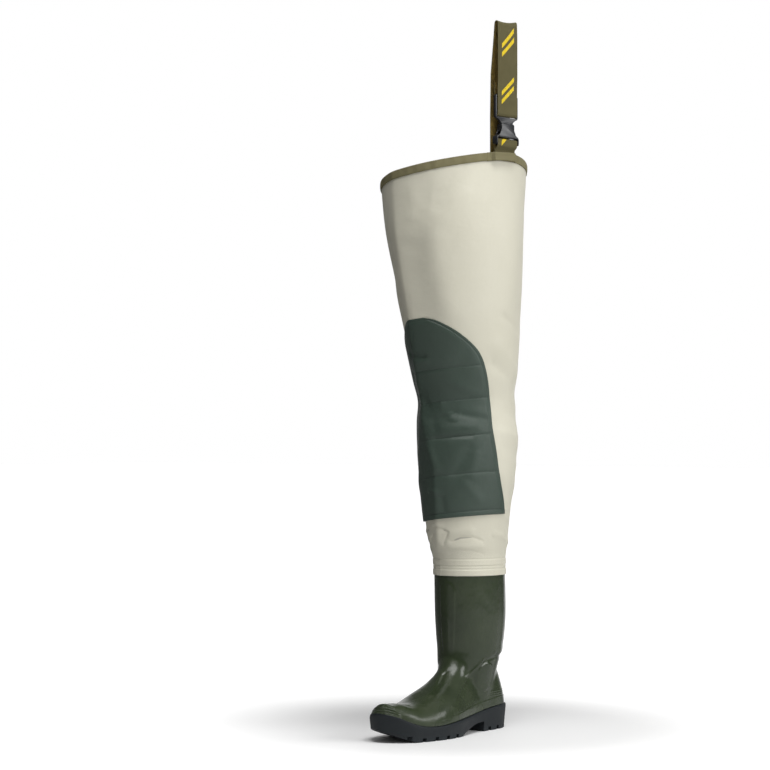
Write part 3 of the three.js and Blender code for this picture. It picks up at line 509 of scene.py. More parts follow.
class Wire:
    """A shader socket that Python's operators work on. Each expression adds its Math nodes."""

    def __init__(self, paint, socket):
        self.paint = paint
        self.socket = socket

    def maths(self, operation, *values):
        sockets = dict(enumerate(values))
        return self.paint.node("ShaderNodeMath", {"operation": operation}, sockets)

    def __add__(self, other):
        return self.maths("ADD", self, other)

    def __radd__(self, other):
        return self.maths("ADD", other, self)

    def __sub__(self, other):
        return self.maths("SUBTRACT", self, other)

    def __rsub__(self, other):
        return self.maths("SUBTRACT", other, self)

    def __mul__(self, other):
        return self.maths("MULTIPLY", self, other)

    def sine(self):
        return self.maths("SINE", self)

    def size(self):
        return self.maths("ABSOLUTE", self)

    def most(self, other):
        return self.maths("MAXIMUM", self, other)

    def under(self, other):
        return self.maths("LESS_THAN", self, other)

    def wrapped(self, length):
        """The remainder after whole lengths, from 0 up to the length."""
        return self.maths("WRAP", self, length, 0.0)

    def soft(self, low, high):
        """A soft step: 0 below low and 1 above high."""
        settings = {"interpolation_type": "SMOOTHSTEP"}
        sockets = {"Value": self, "From Min": low, "From Max": high}
        return self.paint.node("ShaderNodeMapRange", settings, sockets)


class Shading:
    """An empty node tree, and one way to add nodes to it."""

    def __init__(self, owner):
        owner.use_nodes = True
        self.tree = owner.node_tree
        self.tree.nodes.clear()

    def node(self, kind, settings=None, sockets=None, output=0):
        """A node of the given type: its settings first, then the values or wires of its sockets."""
        made = self.tree.nodes.new(kind)
        for label, value in (settings or {}).items():
            setattr(made, label, value)
        for label, value in (sockets or {}).items():
            if isinstance(value, Wire):
                self.tree.links.new(value.socket, made.inputs[label])
            else:
                made.inputs[label].default_value = value
        return None if output is None else Wire(self, made.outputs[output])

    def facing(self, direction, angle, up):
        """How far a direction points to an angle round from the toe, tilted up: their dot product."""
        turn = np.radians(angle)
        sockets = {0: direction, 1: (np.sin(turn), -np.cos(turn), up)}
        return self.node("ShaderNodeVectorMath", {"operation": "DOT_PRODUCT"}, sockets, "Value")


class Paint(Shading):
    """One material's node tree around a Principled shader."""

    def __init__(self, name, **constants):
        self.material = bpy.data.materials.new(name)
        super().__init__(self.material)
        self.shader = self.tree.nodes.new("ShaderNodeBsdfPrincipled")
        output = self.tree.nodes.new("ShaderNodeOutputMaterial")
        self.tree.links.new(self.shader.outputs["BSDF"], output.inputs["Surface"])
        for label, value in constants.items():
            self.shader.inputs[label.replace("_", " ")].default_value = value

    def feed(self, **wires):
        """Links wires to the Principled shader's sockets."""
        for label, wire in wires.items():
            self.tree.links.new(wire.socket, self.shader.inputs[label.replace("_", " ")])

    def place(self):
        """The point on the object, in metres."""
        return self.node("ShaderNodeTexCoord", output="Object")

    def height(self):
        """The height over the floor, in metres."""
        return self.node("ShaderNodeSeparateXYZ", None, {"Vector": self.place()}, 2)

    def flat(self):
        """The place on the uncut material, in metres, as two wires: round or across it, and along it."""
        uv = self.node("ShaderNodeUVMap", {"uv_map": "flat"})
        split = self.node("ShaderNodeSeparateXYZ", None, {"Vector": uv})
        return split, Wire(self, split.socket.node.outputs[1])

    def noise(self, scale, detail=3.0, roughness=0.55, stretch=(1, 1, 1)):
        """Fractal noise over the object, from about 0.2 to 0.8, with lumps of about 1 / scale metres."""
        where = self.place()
        if stretch != (1, 1, 1):
            where = self.node("ShaderNodeVectorMath", {"operation": "MULTIPLY"}, {0: where, 1: stretch})
        sockets = {"Vector": where, "Scale": scale, "Detail": detail, "Roughness": roughness}
        return self.node("ShaderNodeTexNoise", None, sockets)

    def blend(self, amount, a, b):
        """Colour a where amount is 0 and b where it is 1."""
        mixer = self.node("ShaderNodeMix", {"data_type": "RGBA"}, {0: amount}).socket.node
        for index, color in ((6, a), (7, b)):
            if isinstance(color, Wire):
                self.tree.links.new(color.socket, mixer.inputs[index])
            else:
                mixer.inputs[index].default_value = (*color, 1)
        return Wire(self, mixer.outputs[2])

    def bump(self, height, distance, under=None):
        """Relief of the given depth in metres, over another bump where one is given."""
        sockets = {"Height": height, "Distance": distance}
        if under is not None:
            sockets["Normal"] = under
        return self.node("ShaderNodeBump", None, sockets)


# Colours as linear red, green and blue
STONE = (0.595, 0.575, 0.475)
STONE_SHADE = (0.54, 0.52, 0.42)
PAD_GREEN = (0.030, 0.049, 0.036)
PAD_GREEN_WORN = (0.044, 0.066, 0.052)
BOOT_GREEN = (0.021, 0.031, 0.014)
BOOT_GREEN_DULL = (0.032, 0.044, 0.020)
SOLE_GREY = (0.003, 0.006, 0.008)
SOLE_DUST = (0.014, 0.020, 0.024)
OLIVE = (0.108, 0.094, 0.040)
OLIVE_DARK = (0.076, 0.066, 0.027)
TAPE = (0.205, 0.185, 0.098)
TAPE_DARK = (0.150, 0.134, 0.066)
YELLOW = (0.80, 0.58, 0.02)
# The webbing reverse's ground is darker than its own yellow: painted shade, for the reverse face that shows
# only in the shaded gap between the strap's two legs.
GOLD_IN_SHADE = (0.20, 0.135, 0.025)
GOLD_DARK = (0.12, 0.08, 0.015)
LINING = (0.40, 0.385, 0.33)
LINING_SHADE = (0.34, 0.325, 0.27)
PLASTIC = (0.010, 0.011, 0.013)
PLASTIC_WORN = (0.022, 0.023, 0.026)
FELT = (0.06, 0.065, 0.058)
FELT_LIGHT = (0.12, 0.12, 0.105)
BLACK = (0, 0, 0)

# Weaves, as distances in metres
CLOTH_THREAD = 0.00045
PAD_THREAD = 0.0006
LINING_THREAD = 0.0009
TAPE_RIB = 0.0007
TAPE_THREAD = 0.0006
WEB_THREAD = 0.0022
WEB_CROSS = 0.0011
FIGURE_REPEAT = 0.078  # from one pair of slanted bars to the next
FIGURE_BAR = 0.0075
FIGURE_PLACES = (0.020, 0.034)
FIGURE_TILT = 0.9  # how far a bar climbs per step across


def coated_cloth(name, color, shade, roughness, thread=CLOTH_THREAD):
    """Coated fabric: a fine square weave that shows through the coating, faint clouds of colour, and small
    differences of gloss."""
    paint = Paint(name, IOR=1.46)
    u, v = paint.flat()
    weave = (u * (np.pi / thread)).sine() * (v * (np.pi / thread)).sine()
    clouds = paint.noise(9, 4)
    specks = paint.noise(900, 2)
    paint.feed(
        Base_Color=paint.blend((clouds - 0.3) * 1.4 + (specks - 0.5) * 0.25, color, shade),
        Roughness=roughness + (clouds - 0.5) * 0.10 + (specks - 0.5) * 0.08,
        Normal=paint.bump(weave + specks * 0.6, 0.00005, paint.bump(paint.noise(60, 3), 0.0006)),
    )
    return paint.material


def boot_rubber():
    """Glossy moulded rubber: a slightly uneven skin, duller patches and a thin film of dust near the sole."""
    paint = Paint("boot_rubber", IOR=1.45)
    clouds = paint.noise(14, 4)
    skin = paint.noise(45, 2)
    grain = paint.noise(1400, 2)
    low = paint.height()
    dust = (1 - low.soft(0.03, 0.12)) * clouds.soft(0.45, 0.75)
    paint.feed(
        Base_Color=paint.blend(clouds.soft(0.35, 0.7) * 0.6 + dust * 0.5, BOOT_GREEN, BOOT_GREEN_DULL),
        Roughness=0.20 + (clouds - 0.5) * 0.12 + dust * 0.15 + (grain - 0.5) * 0.06,
        Normal=paint.bump(grain, 0.00003, paint.bump(skin, 0.0008)),
    )
    return paint.material


def sole_rubber():
    """Matt moulded rubber: fine grain, dusty scuffs and a duller foot of the lugs."""
    paint = Paint("sole_rubber", IOR=1.42)
    grain = paint.noise(1100, 3)
    clouds = paint.noise(30, 5)
    scuffs = paint.noise(55, 5, 0.7, (1, 1, 5)).soft(0.62, 0.78)
    low = paint.height()
    dust = (1 - low.soft(0.0, 0.012)) * 0.5 + scuffs * 0.35
    paint.feed(
        Base_Color=paint.blend(dust + clouds * 0.2, SOLE_GREY, SOLE_DUST),
        Roughness=0.6 + (clouds - 0.5) * 0.2 + dust * 0.2,
        Normal=paint.bump(grain, 0.00008, paint.bump(clouds, 0.0004)),
    )
    return paint.material


def binding_tape():
    """Woven tape: ribs across the tape, a fainter thread along it, and dusty high spots."""
    paint = Paint("binding_tape", IOR=1.35)
    u, v = paint.flat()
    ribs = (u * (np.pi / TAPE_RIB)).sine() * 0.7 + (v * (np.pi / TAPE_THREAD)).sine() * 0.3
    clouds = paint.noise(40, 4)
    paint.feed(
        Base_Color=paint.blend(clouds * 0.6 + ribs * 0.15, TAPE, TAPE_DARK),
        Roughness=0.8 + (clouds - 0.5) * 0.1,
        Normal=paint.bump(ribs, 0.00025),
    )
    return paint.material


def webbing(name, ground, ground_dark, figure, figure_wide):
    """Woven webbing: a herringbone of slanted threads, plain selvedges, and pairs of slanted bars woven in
    another colour."""
    paint = Paint(name, IOR=1.35)
    u, v = paint.flat()
    threads = ((v + u.size()) * (2 * np.pi / WEB_THREAD)).sine()
    cross = (u * (2 * np.pi / WEB_CROSS)).sine()
    clouds = paint.noise(60, 4)
    along = (v + u * FIGURE_TILT).wrapped(FIGURE_REPEAT)
    first, second = ((along - place).size().under(FIGURE_BAR / 2) for place in FIGURE_PLACES)
    inside = u.size().under(STRAP_WIDTH * MM / 2 * figure_wide)
    fringe = (threads * 0.5 + 0.5) * 0.25
    bars = first.most(second) * inside
    cloth = paint.blend(clouds * 0.5 + threads * 0.12, ground, ground_dark)
    marks = paint.blend(fringe, figure, ground)
    paint.feed(
        Base_Color=paint.blend(bars, cloth, marks),
        Roughness=0.78 + (clouds - 0.5) * 0.12,
        Normal=paint.bump(threads * 0.6 + cross * 0.4 + bars * 0.5, 0.0003),
    )
    return paint.material


def buckle_plastic():
    """Gloss moulded plastic with a fine spark texture and light wear."""
    paint = Paint("buckle_plastic", IOR=1.5)
    grain = paint.noise(2500, 2)
    clouds = paint.noise(80, 4)
    paint.feed(
        Base_Color=paint.blend(clouds.soft(0.5, 0.8), PLASTIC, PLASTIC_WORN),
        Roughness=0.30 + (clouds - 0.5) * 0.15,
        Normal=paint.bump(grain, 0.00004),
    )
    return paint.material


def felt():
    """Insole felt: short matted fibres."""
    paint = Paint("insole_felt", Sheen_Weight=0.2)
    fibres = paint.noise(700, 5, 0.7)
    paint.feed(
        Base_Color=paint.blend(fibres, FELT, FELT_LIGHT),
        Roughness=0.9 + (fibres - 0.5) * 0.1,
        Normal=paint.bump(fibres, 0.0005),
    )
    return paint.material


# Outsole


def prism(name, outline, half_wide):
    """A closed block across the sole: an outline in (y, z) carried along x."""
    outline = np.array(outline, float)
    sides = [np.insert(outline, 0, x, axis=1) for x in (-half_wide, half_wide)]
    mesh = bpy.data.meshes.new(name)
    count = len(outline)
    around = [[i, (i + 1) % count, count + (i + 1) % count, count + i] for i in range(count)]
    faces = [list(range(count))[::-1], [count + i for i in range(count)], *around]
    mesh.from_pydata((np.concatenate(sides) * MM).tolist(), [], faces)
    work = opened(mesh)
    bmesh.ops.recalc_face_normals(work, faces=work.faces)
    return closed(work, mesh)


def blocks(name, boxes):
    """One mesh of closed boxes, each given by its middle and its size in millimetres."""
    work = bmesh.new()
    for middle, size in boxes:
        made = bmesh.ops.create_cube(work, size=1)
        bmesh.ops.scale(work, vec=Vector(size) * MM, verts=made["verts"])
        bmesh.ops.translate(work, vec=Vector(middle) * MM, verts=made["verts"])
    return closed(work, bpy.data.meshes.new(name))


def carve(mesh, tools):
    """The mesh with each tool cut away, one after the other."""
    body = placed("carving", mesh)
    cutters = [placed(tool.name, tool) for tool in tools]
    for cutter in cutters:
        cut = body.modifiers.new(cutter.name, "BOOLEAN")
        cut.operation = "DIFFERENCE"
        cut.solver = "EXACT"
        cut.object = cutter
    bpy.context.view_layer.update()
    graph = bpy.context.evaluated_depsgraph_get()
    carved = bpy.data.meshes.new_from_object(body.evaluated_get(graph))
    carved.name = mesh.name
    for item in (*cutters, body):
        bpy.data.objects.remove(item)
    return carved


def soften(piece, width, angle=35):
    """Rounds a piece's sharp edges and shades it smooth between them."""
    piece.data.polygons.foreach_set("use_smooth", np.ones(len(piece.data.polygons), bool))
    bevel = piece.modifiers.new("rounded edges", "BEVEL")
    bevel.width = width * MM
    bevel.segments = 2
    bevel.limit_method = "ANGLE"
    bevel.angle_limit = np.radians(angle)
    bevel.harden_normals = True


def sole_body():
    """The sole before it is cut: its outline drawn up from tread to rim, its top face following the seat."""
    az = round_angles(200, 0.42)[None, :]
    edge, foot_edge = sole_radius(az, 0), sole_radius(az, TREAD_INSET)

    def ring(radius, z):
        return around_core(az, radius, SOLE_CORE, z)

    rim = rim_height(SOLE_CORE - edge * np.cos(az))
    lip = rim - RIM_LIP
    rows = [ring(0 * edge, 0), ring(foot_edge * 0.5, 0), ring(foot_edge, 0)]
    rows += [ring(mix(foot_edge, edge, t), lip * t) for t in (0.12, 0.3, 0.5, 0.75, 1.0)]
    rows += [ring(edge + 0.25 * np.sin(t * np.pi), mix(lip, rim - 1.2, t)) for t in (0.3, 0.6, 1.0)]
    rows += [ring(edge - 0.4, rim - 0.3), ring(edge - 1.3, seat(az, edge - 1.3))]
    rows += [ring(edge * SEAT_RING, seat(az, edge * SEAT_RING)), ring(edge * 0.4, seat(az, edge * 0.4))]
    rows += [ring(0 * edge, seat(az, 0 * edge))]
    return grid_mesh("sole", np.concatenate(rows), merge=True)


def spring_at(forward):
    """How far the toe spring lifts the tread, at a distance square to its bend."""
    share = np.clip((forward - SPRING_START) / (SPRING_END - SPRING_START), 0, 1)
    return TOE_SPRING * share**SPRING_POWER


def spring(x, y):
    """How far the toe spring lifts the tread at a point."""
    turn = np.radians(SPRING_TURN)
    return float(spring_at(-x * np.sin(turn) - y * np.cos(turn)))


def sole_edges(y, reach):
    """For the outer and the inner edge of the sole at y: the edge's x, and the middle of a block that reaches
    in from beyond it."""
    side = foot((HEEL_BACK - y) / SOLE_LENGTH)
    for x, away in ((side["outer"] * SOLE_HALF_WIDTH, 1), (-side["inner"] * SOLE_HALF_WIDTH, -1)):
        yield float(x), float(x + away * (CUT_OVER - reach / 2))


def sole_tools():
    """What is cut from the sole: toe spring and arch, side gaps between the lugs, gaps between the two long
    channels, and the channels."""
    below = -CUT_OVER
    wide = SOLE_LENGTH
    steps = np.linspace(0, 1, 15)
    forward = mix(SPRING_START, SPRING_END, steps)
    past = SPRING_END + 2 * CUT_OVER
    toe_outline = [
        (-past, below),
        (-SPRING_START, below),
        *zip(-forward, spring_at(forward)),
        (-past, TOE_SPRING),
    ]
    toe_cut = prism("toe_cut", toe_outline, wide)
    toe_cut.transform(Matrix.Rotation(-np.radians(SPRING_TURN), 4, "Z"))
    arch_ys = mix(-HEEL_BREAST, -ARCH_END, steps)
    arch_outline = [
        (-ARCH_END, below),
        (-HEEL_BREAST, below),
        *zip(arch_ys[:-1], ARCH_RISE * (1 - steps[:-1] ** 2)),
    ]
    side_gaps, cross_gaps = [], []
    for i in range(LUG_COUNT):
        y = -FIRST_LUG_GAP + i * LUG_PITCH
        for x, middle in sole_edges(y, LUG_REACH):
            tall = 2 * (spring(x, y) + LUG_DEPTH)
            side_gaps.append(((middle, y, 0), (LUG_REACH + CUT_OVER, LUG_GAP, tall)))
        if i < LUG_COUNT - 1:
            between = y + LUG_PITCH / 2
            tall = 2 * (spring(0, between) + LUG_DEPTH)
            cross_gaps.append(((0, between, 0), (2 * RIB_CHANNEL, LUG_GAP, tall)))
    for y in (-HEEL_GAP_PITCH, 0, HEEL_GAP_PITCH):
        for _, middle in sole_edges(y, HEEL_GAP_REACH):
            side_gaps.append(((middle, y, 0), (HEEL_GAP_REACH + CUT_OVER, LUG_GAP, 2 * LUG_DEPTH)))
    for x in (-HEEL_GAP_PITCH / 2, HEEL_GAP_PITCH / 2):
        y = HEEL_BACK + CUT_OVER - HEEL_GAP_REACH / 2
        cross_gaps.append(((x, y, 0), (LUG_GAP, HEEL_GAP_REACH + CUT_OVER, 2 * LUG_DEPTH)))
    long = (LUG_COUNT - 1) * LUG_PITCH
    middle = -FIRST_LUG_GAP + long / 2
    channels = [((x, middle, 0), (LUG_GAP, long, 2 * LUG_DEPTH)) for x in (-RIB_CHANNEL, RIB_CHANNEL)]
    return [
        toe_cut,
        prism("arch_cut", arch_outline, wide),
        blocks("side_gaps", side_gaps),
        blocks("cross_gaps", cross_gaps),
        blocks("channels", channels),
    ]


def make_sole():
    sole = add_piece(carve(sole_body(), sole_tools()), "sole_rubber", sole_rubber(), stands_for=["outsole"])
    soften(sole, 0.7)


# Boot

FOXING_STEP = 1.2
FOXING_LOW = 8  # the foxing band's height over the rim at the toe
FOXING_HIGH = 15
GUARD_START = 242  # forward of the origin
GUARD_STEP = 0.9
GUARD_LINE = 1.0  # depth of the dark line between two tiers
GUARD_TIER = 4.4
GUARD_TIERS = 3
GUARD_EDGES = [i * GUARD_TIER for i in range(1, GUARD_TIERS + 1)]
GUARD_BLUR = 0.5
GUARD_RINGS = (-0.7, -0.45, -0.25, 0, 0.25, 0.45, 0.7)  # rows of points about each tier's edge
BOSS_AT = (-38, 91)  # y and z of the ankle boss
BOSS_HALF = (21, 23)
BOSS_STEP = 1.9
KICK_RIBS = 4
KICK_PITCH = 3.4
KICK_LOW = 54
KICK_STEP = 1.2
KICK_ANGLE = 30  # degrees to either side of the back
COUNTER_LOW = 42
COUNTER_HIGH = 80
COUNTER_FRONT = 62  # its upper edge towards the toe
WAIST = 3.0  # how far the boot draws in over its flared counter
SHIN_TOP = 250
SHIN_FOOT = 120
SHIN_STEP = 0.9
SHIN_NARROW = 11
SHIN_WIDE = 15
SHIN_BLUR = 1.4
INLAY_TOP = 187  # a smaller panel on the shin panel
INLAY_FOOT = 140
INLAY_STEP = 0.6
INLAY_HALF = 9
INLAY_ASIDE = 5


def boot_relief(az, x, y, z, height):
    """Raised forms of the boot's face: foxing band, toe guard in tiers, shin panels, the waist over the heel,
    ankle boss and kick ribs, each a soft step or hill times its height."""
    foxing_top = mix(FOXING_LOW, FOXING_HIGH, ease((y + 190) / 140))
    foxing = FOXING_STEP * step(foxing_top - height, 0.8) * ease((y + 175) / 40)
    guard = 0
    for edge in GUARD_EDGES:
        tier = GUARD_STEP * step(edge - height, GUARD_BLUR)
        guard = guard + tier - GUARD_LINE * hump(height - edge, GUARD_BLUR)
    guard = guard * ease(-GUARD_START - y)
    front = ease((-30 - y) / 8)
    half = mix(SHIN_NARROW, SHIN_WIDE, ease((z - SHIN_FOOT) / 100))
    arched = np.hypot(x / half, np.maximum(z - SHIN_TOP + half, 0) / half)
    shin = SHIN_STEP * step((1 - arched) * half, SHIN_BLUR) * ease((z - SHIN_FOOT) / 30) * front
    inner = np.hypot((x + INLAY_ASIDE) / INLAY_HALF, np.maximum(z - INLAY_TOP, 0) / INLAY_HALF)
    inlay = INLAY_STEP * step((1 - inner) * INLAY_HALF, SHIN_BLUR) * ease((z - INLAY_FOOT) / 30) * front
    counter_top = mix(COUNTER_HIGH, COUNTER_FRONT, ease((-y - 20) / 110))
    flare = np.clip((z - COUNTER_LOW) / (counter_top - COUNTER_LOW), 0, 1)
    waist = -WAIST * flare * np.where(z < counter_top, 1, hump(z - counter_top, 24)) * ease((y + 150) / 60)
    away = np.hypot((y - BOSS_AT[0]) / BOSS_HALF[0], (z - BOSS_AT[1]) / BOSS_HALF[1])
    boss = BOSS_STEP * step(1 - away, 0.2)
    from_back = np.abs(np.degrees(turned(az - np.pi)))
    rib = (0.5 + 0.5 * np.cos((z - KICK_LOW) / KICK_PITCH * 2 * np.pi)) ** 2
    within = ease((z - KICK_LOW + 1) / 2) * ease((KICK_LOW + KICK_RIBS * KICK_PITCH - z) / 2)
    kick = KICK_STEP * rib * within * ease((KICK_ANGLE - from_back) / 5)
    return np.maximum(foxing, guard) + shin + inlay + waist + boss + kick


# Soft folds of the boot's two sides, from y and z to y and z
BOOT_SIDE_FOLDS = table(
    "from_at from_z to_at to_z width height",
    (45, 122, -12, 124, 3.5, -1.5),
    (-12, 124, -46, 118, 3.0, -1.3),
    (40, 132, -20, 133, 6.0, 1.0),
    (-48, 120, -72, 96, 2.4, 1.2),
    (-42, 112, -64, 90, 3.0, -0.5),
    (-72, 96, -126, 61, 2.0, 0.9),
)

# Soft folds of the instep, from an angle round the boot and z to another
BOOT_FRONT_FOLDS = table(
    "from_at from_z to_at to_z width height",
    (7, 120, 3, 100, 6.0, 0.9),
    (3, 100, 7, 82, 6.0, 1.8),
    (7, 82, 11, 68, 6.0, 1.0),
    (9, 98, 14, 84, 2.8, -1.7),
    (14, 84, 17, 66, 3.0, -1.0),
)
BOOT_MM_PER_DEGREE = 1.0


def make_boot():
    guard = [edge + ring for edge in GUARD_EDGES for ring in GUARD_RINGS]
    rim = np.arange(0, 16, 0.7)
    foot_rows = np.arange(16, FADE_HEIGHT, 1.25)
    shaft_rows = np.linspace(FADE_HEIGHT, BOOT_TOP - LEVEL_BASE, 80)
    heights = np.unique(np.concatenate([rim, foot_rows, shaft_rows, guard]))[:, None]
    t = np.linspace(0, 2 * np.pi, 300, endpoint=False)[None, :]

    def ring(height, inset):
        narrow = mix(0.42, 1, ease(height / FADE_HEIGHT))
        az = np.arctan2(np.sin(t) * narrow, np.cos(t))
        radius, core = boot_radius(az, height, inset)
        y = core - radius * np.cos(az)
        base = mix(rim_height(y), LEVEL_BASE, ease(height / FADE_HEIGHT))
        return az, radius, core, y, height + base

    az, radius, core, y, z = ring(heights, 0)
    relief = boot_relief(az, radius * np.sin(az), y, z, heights)
    relief = relief + folds(BOOT_SIDE_FOLDS, y, z, period=2 * SOLE_LENGTH) * ease((z - 45) / 20)
    relief = relief + folds(BOOT_FRONT_FOLDS, np.degrees(turned(az)), z, BOOT_MM_PER_DEGREE)
    out = radius + relief
    first = seat(az[:1], out[:1]) + SEAT_CLEAR
    z = np.concatenate([first, z[1:]])
    outer = around_core(az, out, core, z)
    inner_heights = np.concatenate([np.linspace(BOOT_TOP - LEVEL_BASE, 12, 36), [6, 0]])[:, None]
    az, radius, core, y, z = ring(inner_heights, BOOT_WALL)
    z = np.concatenate([z[:-1], seat(az[-1:], radius[-1:]) + SEAT_CLEAR])
    inner = around_core(az, radius, core, z)
    mesh = grid_mesh("boot", np.concatenate([outer, inner]), loop=True)
    add_piece(mesh, "boot_rubber", boot_rubber(), stands_for=["boot_upper"])


# Leg

# Where the front crease runs, as a degree round the leg, and how far it stands out, at heights over the floor
CREASE = table(
    "at az out",
    (250, -11, 0.0),
    (294, -9, 2.0),
    (354, -3, 3.5),
    (452, -2, 4.0),
    (505, -13, 4.0),
    (560, -20, 4.5),
    (604, -17, 6.0),
    (642, -15, 6.0),
    (690, -14, 7.0),
    (750, -13, 7.5),
    (820, -12, 6.5),
    (870, -12, 4.0),
    (930, -13, 2.0),
)
CREASE_WIDTH = 15  # over which the crease sinks back into the cloth
CREASE_EDGE = 1.2  # over which its crest is rounded

# Folds of the leg, in degrees round it and heights over the floor: between boot and pad, behind the knee, and
# on the thigh
LEG_FOLDS = table(
    "from_at from_z to_at to_z width height",
    (-9, 348, 0, 343, 6, 1.4),
    (14, 332, 40, 336, 8, 1.5),
    (-2, 330, -4, 318, 6, 1.2),
    (12, 309, 55, 309, 7, 1.3),
    (14, 292, 55, 288, 6, 0.8),
    (-20, 322, -45, 332, 5, 1.6),
    (-18, 306, -50, 312, 5, -1.8),
    (80, 330, 120, 318, 6, 1.5),
    (130, 312, 175, 324, 6, 1.6),
    (-90, 325, -140, 315, 6, 1.6),
    (120, 575, 178, 552, 14, -1.4),
    (105, 552, 172, 532, 12, 1.2),
    (-115, 572, -178, 552, 14, -2.0),
    (96, 530, 160, 512, 12, -1.2),
    (76, 640, 120, 600, 12, 1.6),
    (70, 612, 118, 574, 10, -1.6),
    (84, 690, 120, 668, 8, -1.8),
    (80, 500, 120, 490, 9, 1.4),
    (90, 470, 150, 452, 12, -1.6),
    (86, 430, 140, 400, 14, 1.6),
    (56, 943, 44, 892, 12, 2.2),
    (44, 892, 20, 832, 14, 3.0),
    (20, 832, 17, 780, 14, 3.0),
    (17, 780, 24, 700, 18, 2.6),
    (38, 925, 24, 868, 14, -1.8),
    (10, 925, 14, 872, 12, -1.4),
    (25, 930, 27, 900, 8, 0.8),
    (4, 900, 2, 850, 8, 1.0),
    (8, 865, 2, 800, 20, -1.2),
    (2, 800, 4, 700, 20, -2.6),
    (-70, 920, -45, 760, 24, -3.0),
    (-120, 900, -100, 720, 30, 2.5),
    (140, 900, 120, 700, 30, -3.0),
)

# Fine creases of the leg's lower end, as above
LEG_CREASES = table(
    "from_at from_z to_at to_z width height",
    (-8, 342, 2, 339, 2.4, -1.6),
    (2, 339, 10, 333, 2.4, -1.9),
    (10, 333, 7, 324, 2.4, -1.7),
    (7, 324, 3, 314, 2.4, -1.2),
    (14, 318, 26, 324, 2.6, -1.1),
    (26, 324, 42, 325, 2.6, -1.1),
    (42, 325, 57, 319, 2.6, -0.9),
    (9, 300, 22, 303, 2.4, -1.0),
    (22, 303, 40, 302, 2.4, -1.0),
    (40, 302, 60, 296, 2.4, -0.8),
    (-14, 330, -24, 312, 3.0, -1.6),
    (-30, 336, -44, 326, 3.0, -1.2),
)
LEG_MM_PER_DEGREE = 1.35
HEM_LINES = ((271.5, 0.5, 0.9), (276, 0.5, 0.9), (288, 0.5, 1.2))  # height, depth and width of each weld line
HEM_TOP = 292
CREASED_TOP = 352  # up to where the rows of points are close


def leg_relief(az, z):
    """How far the cloth stands out: the front crease, listed folds, slow swells of crossed sines, and
    the welded hem."""
    degrees = np.degrees(turned(az))
    slow = np.sin(2 * az + z / 90) * np.sin(z / 130 + 1.3 * np.sin(2 * az))
    swell = 0.5 * slow + 0.3 * np.sin(5 * az - z / 60)
    free = ease((z - 286) / 30) * (1 - 0.8 * ease((z - 870) / 60))
    line = read(CREASE, z)
    away = np.degrees(turned(az - np.radians(line["az"]))) * LEG_MM_PER_DEGREE
    crease = line["out"] * np.exp(-(np.hypot(away, CREASE_EDGE) - CREASE_EDGE) / CREASE_WIDTH)
    hem = 0.5 * (ease(z - 260) - ease((z - 269) / 1.2) + ease((z - 277) / 1.2) - ease((z - 286) / 1.6))
    for height, depth, width in HEM_LINES:
        hem = hem - depth * hump(z - height, width)
    hem = hem + 0.9 * hump(degrees + 10, 1.6) * ease((298 - z) / 3)
    laid = folds(LEG_FOLDS, degrees, z, LEG_MM_PER_DEGREE) + folds(LEG_CREASES, degrees, z, LEG_MM_PER_DEGREE)
    return (laid + swell) * free + crease * ease((z - 288) / 40) + hem


def cloth_place(points, az):
    """Place on the flat cloth in metres: the angle times the mean radius round the leg, and the height."""
    around = full_turn(az) * LEG_RADIUS * MM
    tall = np.concatenate([points[..., 2], points[:, :1, 2]], axis=1) * MM
    return np.stack([around + 0 * tall, tall], axis=-1)


def make_leg():
    az = np.linspace(-np.pi, np.pi, 270, endpoint=False)[None, :]
    low = np.linspace(LEG_BOTTOM, HEM_TOP, 44)
    creased = np.linspace(HEM_TOP, CREASED_TOP, 60)[1:]
    high = np.linspace(CREASED_TOP, LEG_HEIGHT, 166)[1:]
    levels = np.concatenate([low, creased, high])[:, None]
    z = leg_height(az, levels)
    outer = leg_point(az, z, leg_relief(az, z))
    inner_levels = np.linspace(LEG_HEIGHT, LEG_BOTTOM, 60)[:, None]
    z = leg_height(az, inner_levels)
    inner = leg_point(az, z, leg_relief(az, z) * ease((z - 288) / 10) - LEG_WALL)
    points = np.concatenate([outer, inner])
    flat = cloth_place(points, az)
    flat = np.concatenate([flat, flat[:1]])
    mesh = grid_mesh("leg_cloth", points, flat, loop=True)
    outside = coated_cloth("coated_fabric", STONE, STONE_SHADE, 0.52)
    lining = coated_cloth("leg_lining", LINING, LINING_SHADE, 0.75, LINING_THREAD)
    faces = np.zeros(len(mesh.polygons), np.int32)
    faces[len(outer) * az.size :] = 1
    add_piece(mesh, "coated_fabric", outside, lining, stands_for=["leg"])
    mesh.polygons.foreach_set("material_index", faces)


# Knee pad

PAD_FILLET = 14  # over which the padding rises from the pad's edge
PAD_PUFF = 3.5  # over which it rises from a seam
PAD_WELD = 0.9  # depth and width of a weld line
PAD_SKIRT = 1.2  # over which the cut edge is rounded

# Folds of the pad, as those of the leg
PAD_FOLDS = table(
    "from_at from_z to_at to_z width height",
    (-22, 628, -6, 624, 5, -2.6),
    (-14, 614, -4, 616, 5, 1.6),
    (-18, 560, -10, 540, 6, -1.6),
    (-14, 520, -6, 500, 7, 1.6),
    (12, 533, 30, 528, 6, -1.2),
    (30, 528, 60, 520, 6, -2.2),
    (-2, 520, 22, 530, 5, -1.6),
    (8, 506, 46, 508, 8, 2.0),
    (0, 489, 40, 493, 3.5, -1.4),
    (6, 544, 20, 520, 7, 1.4),
    (28, 575, 50, 562, 9, 1.2),
    (40, 640, 30, 600, 12, -1.2),
    (-8, 470, 2, 440, 7, 1.8),
    (36, 470, 22, 432, 9, -1.8),
    (44, 462, 40, 430, 9, 1.4),
    (-10, 402, 6, 398, 5, 1.8),
    (6, 398, 8, 372, 6, -1.8),
    (34, 410, 50, 388, 9, 1.4),
    (-30, 590, -40, 480, 12, -2.0),
    (-40, 420, -60, 400, 10, 1.4),
)


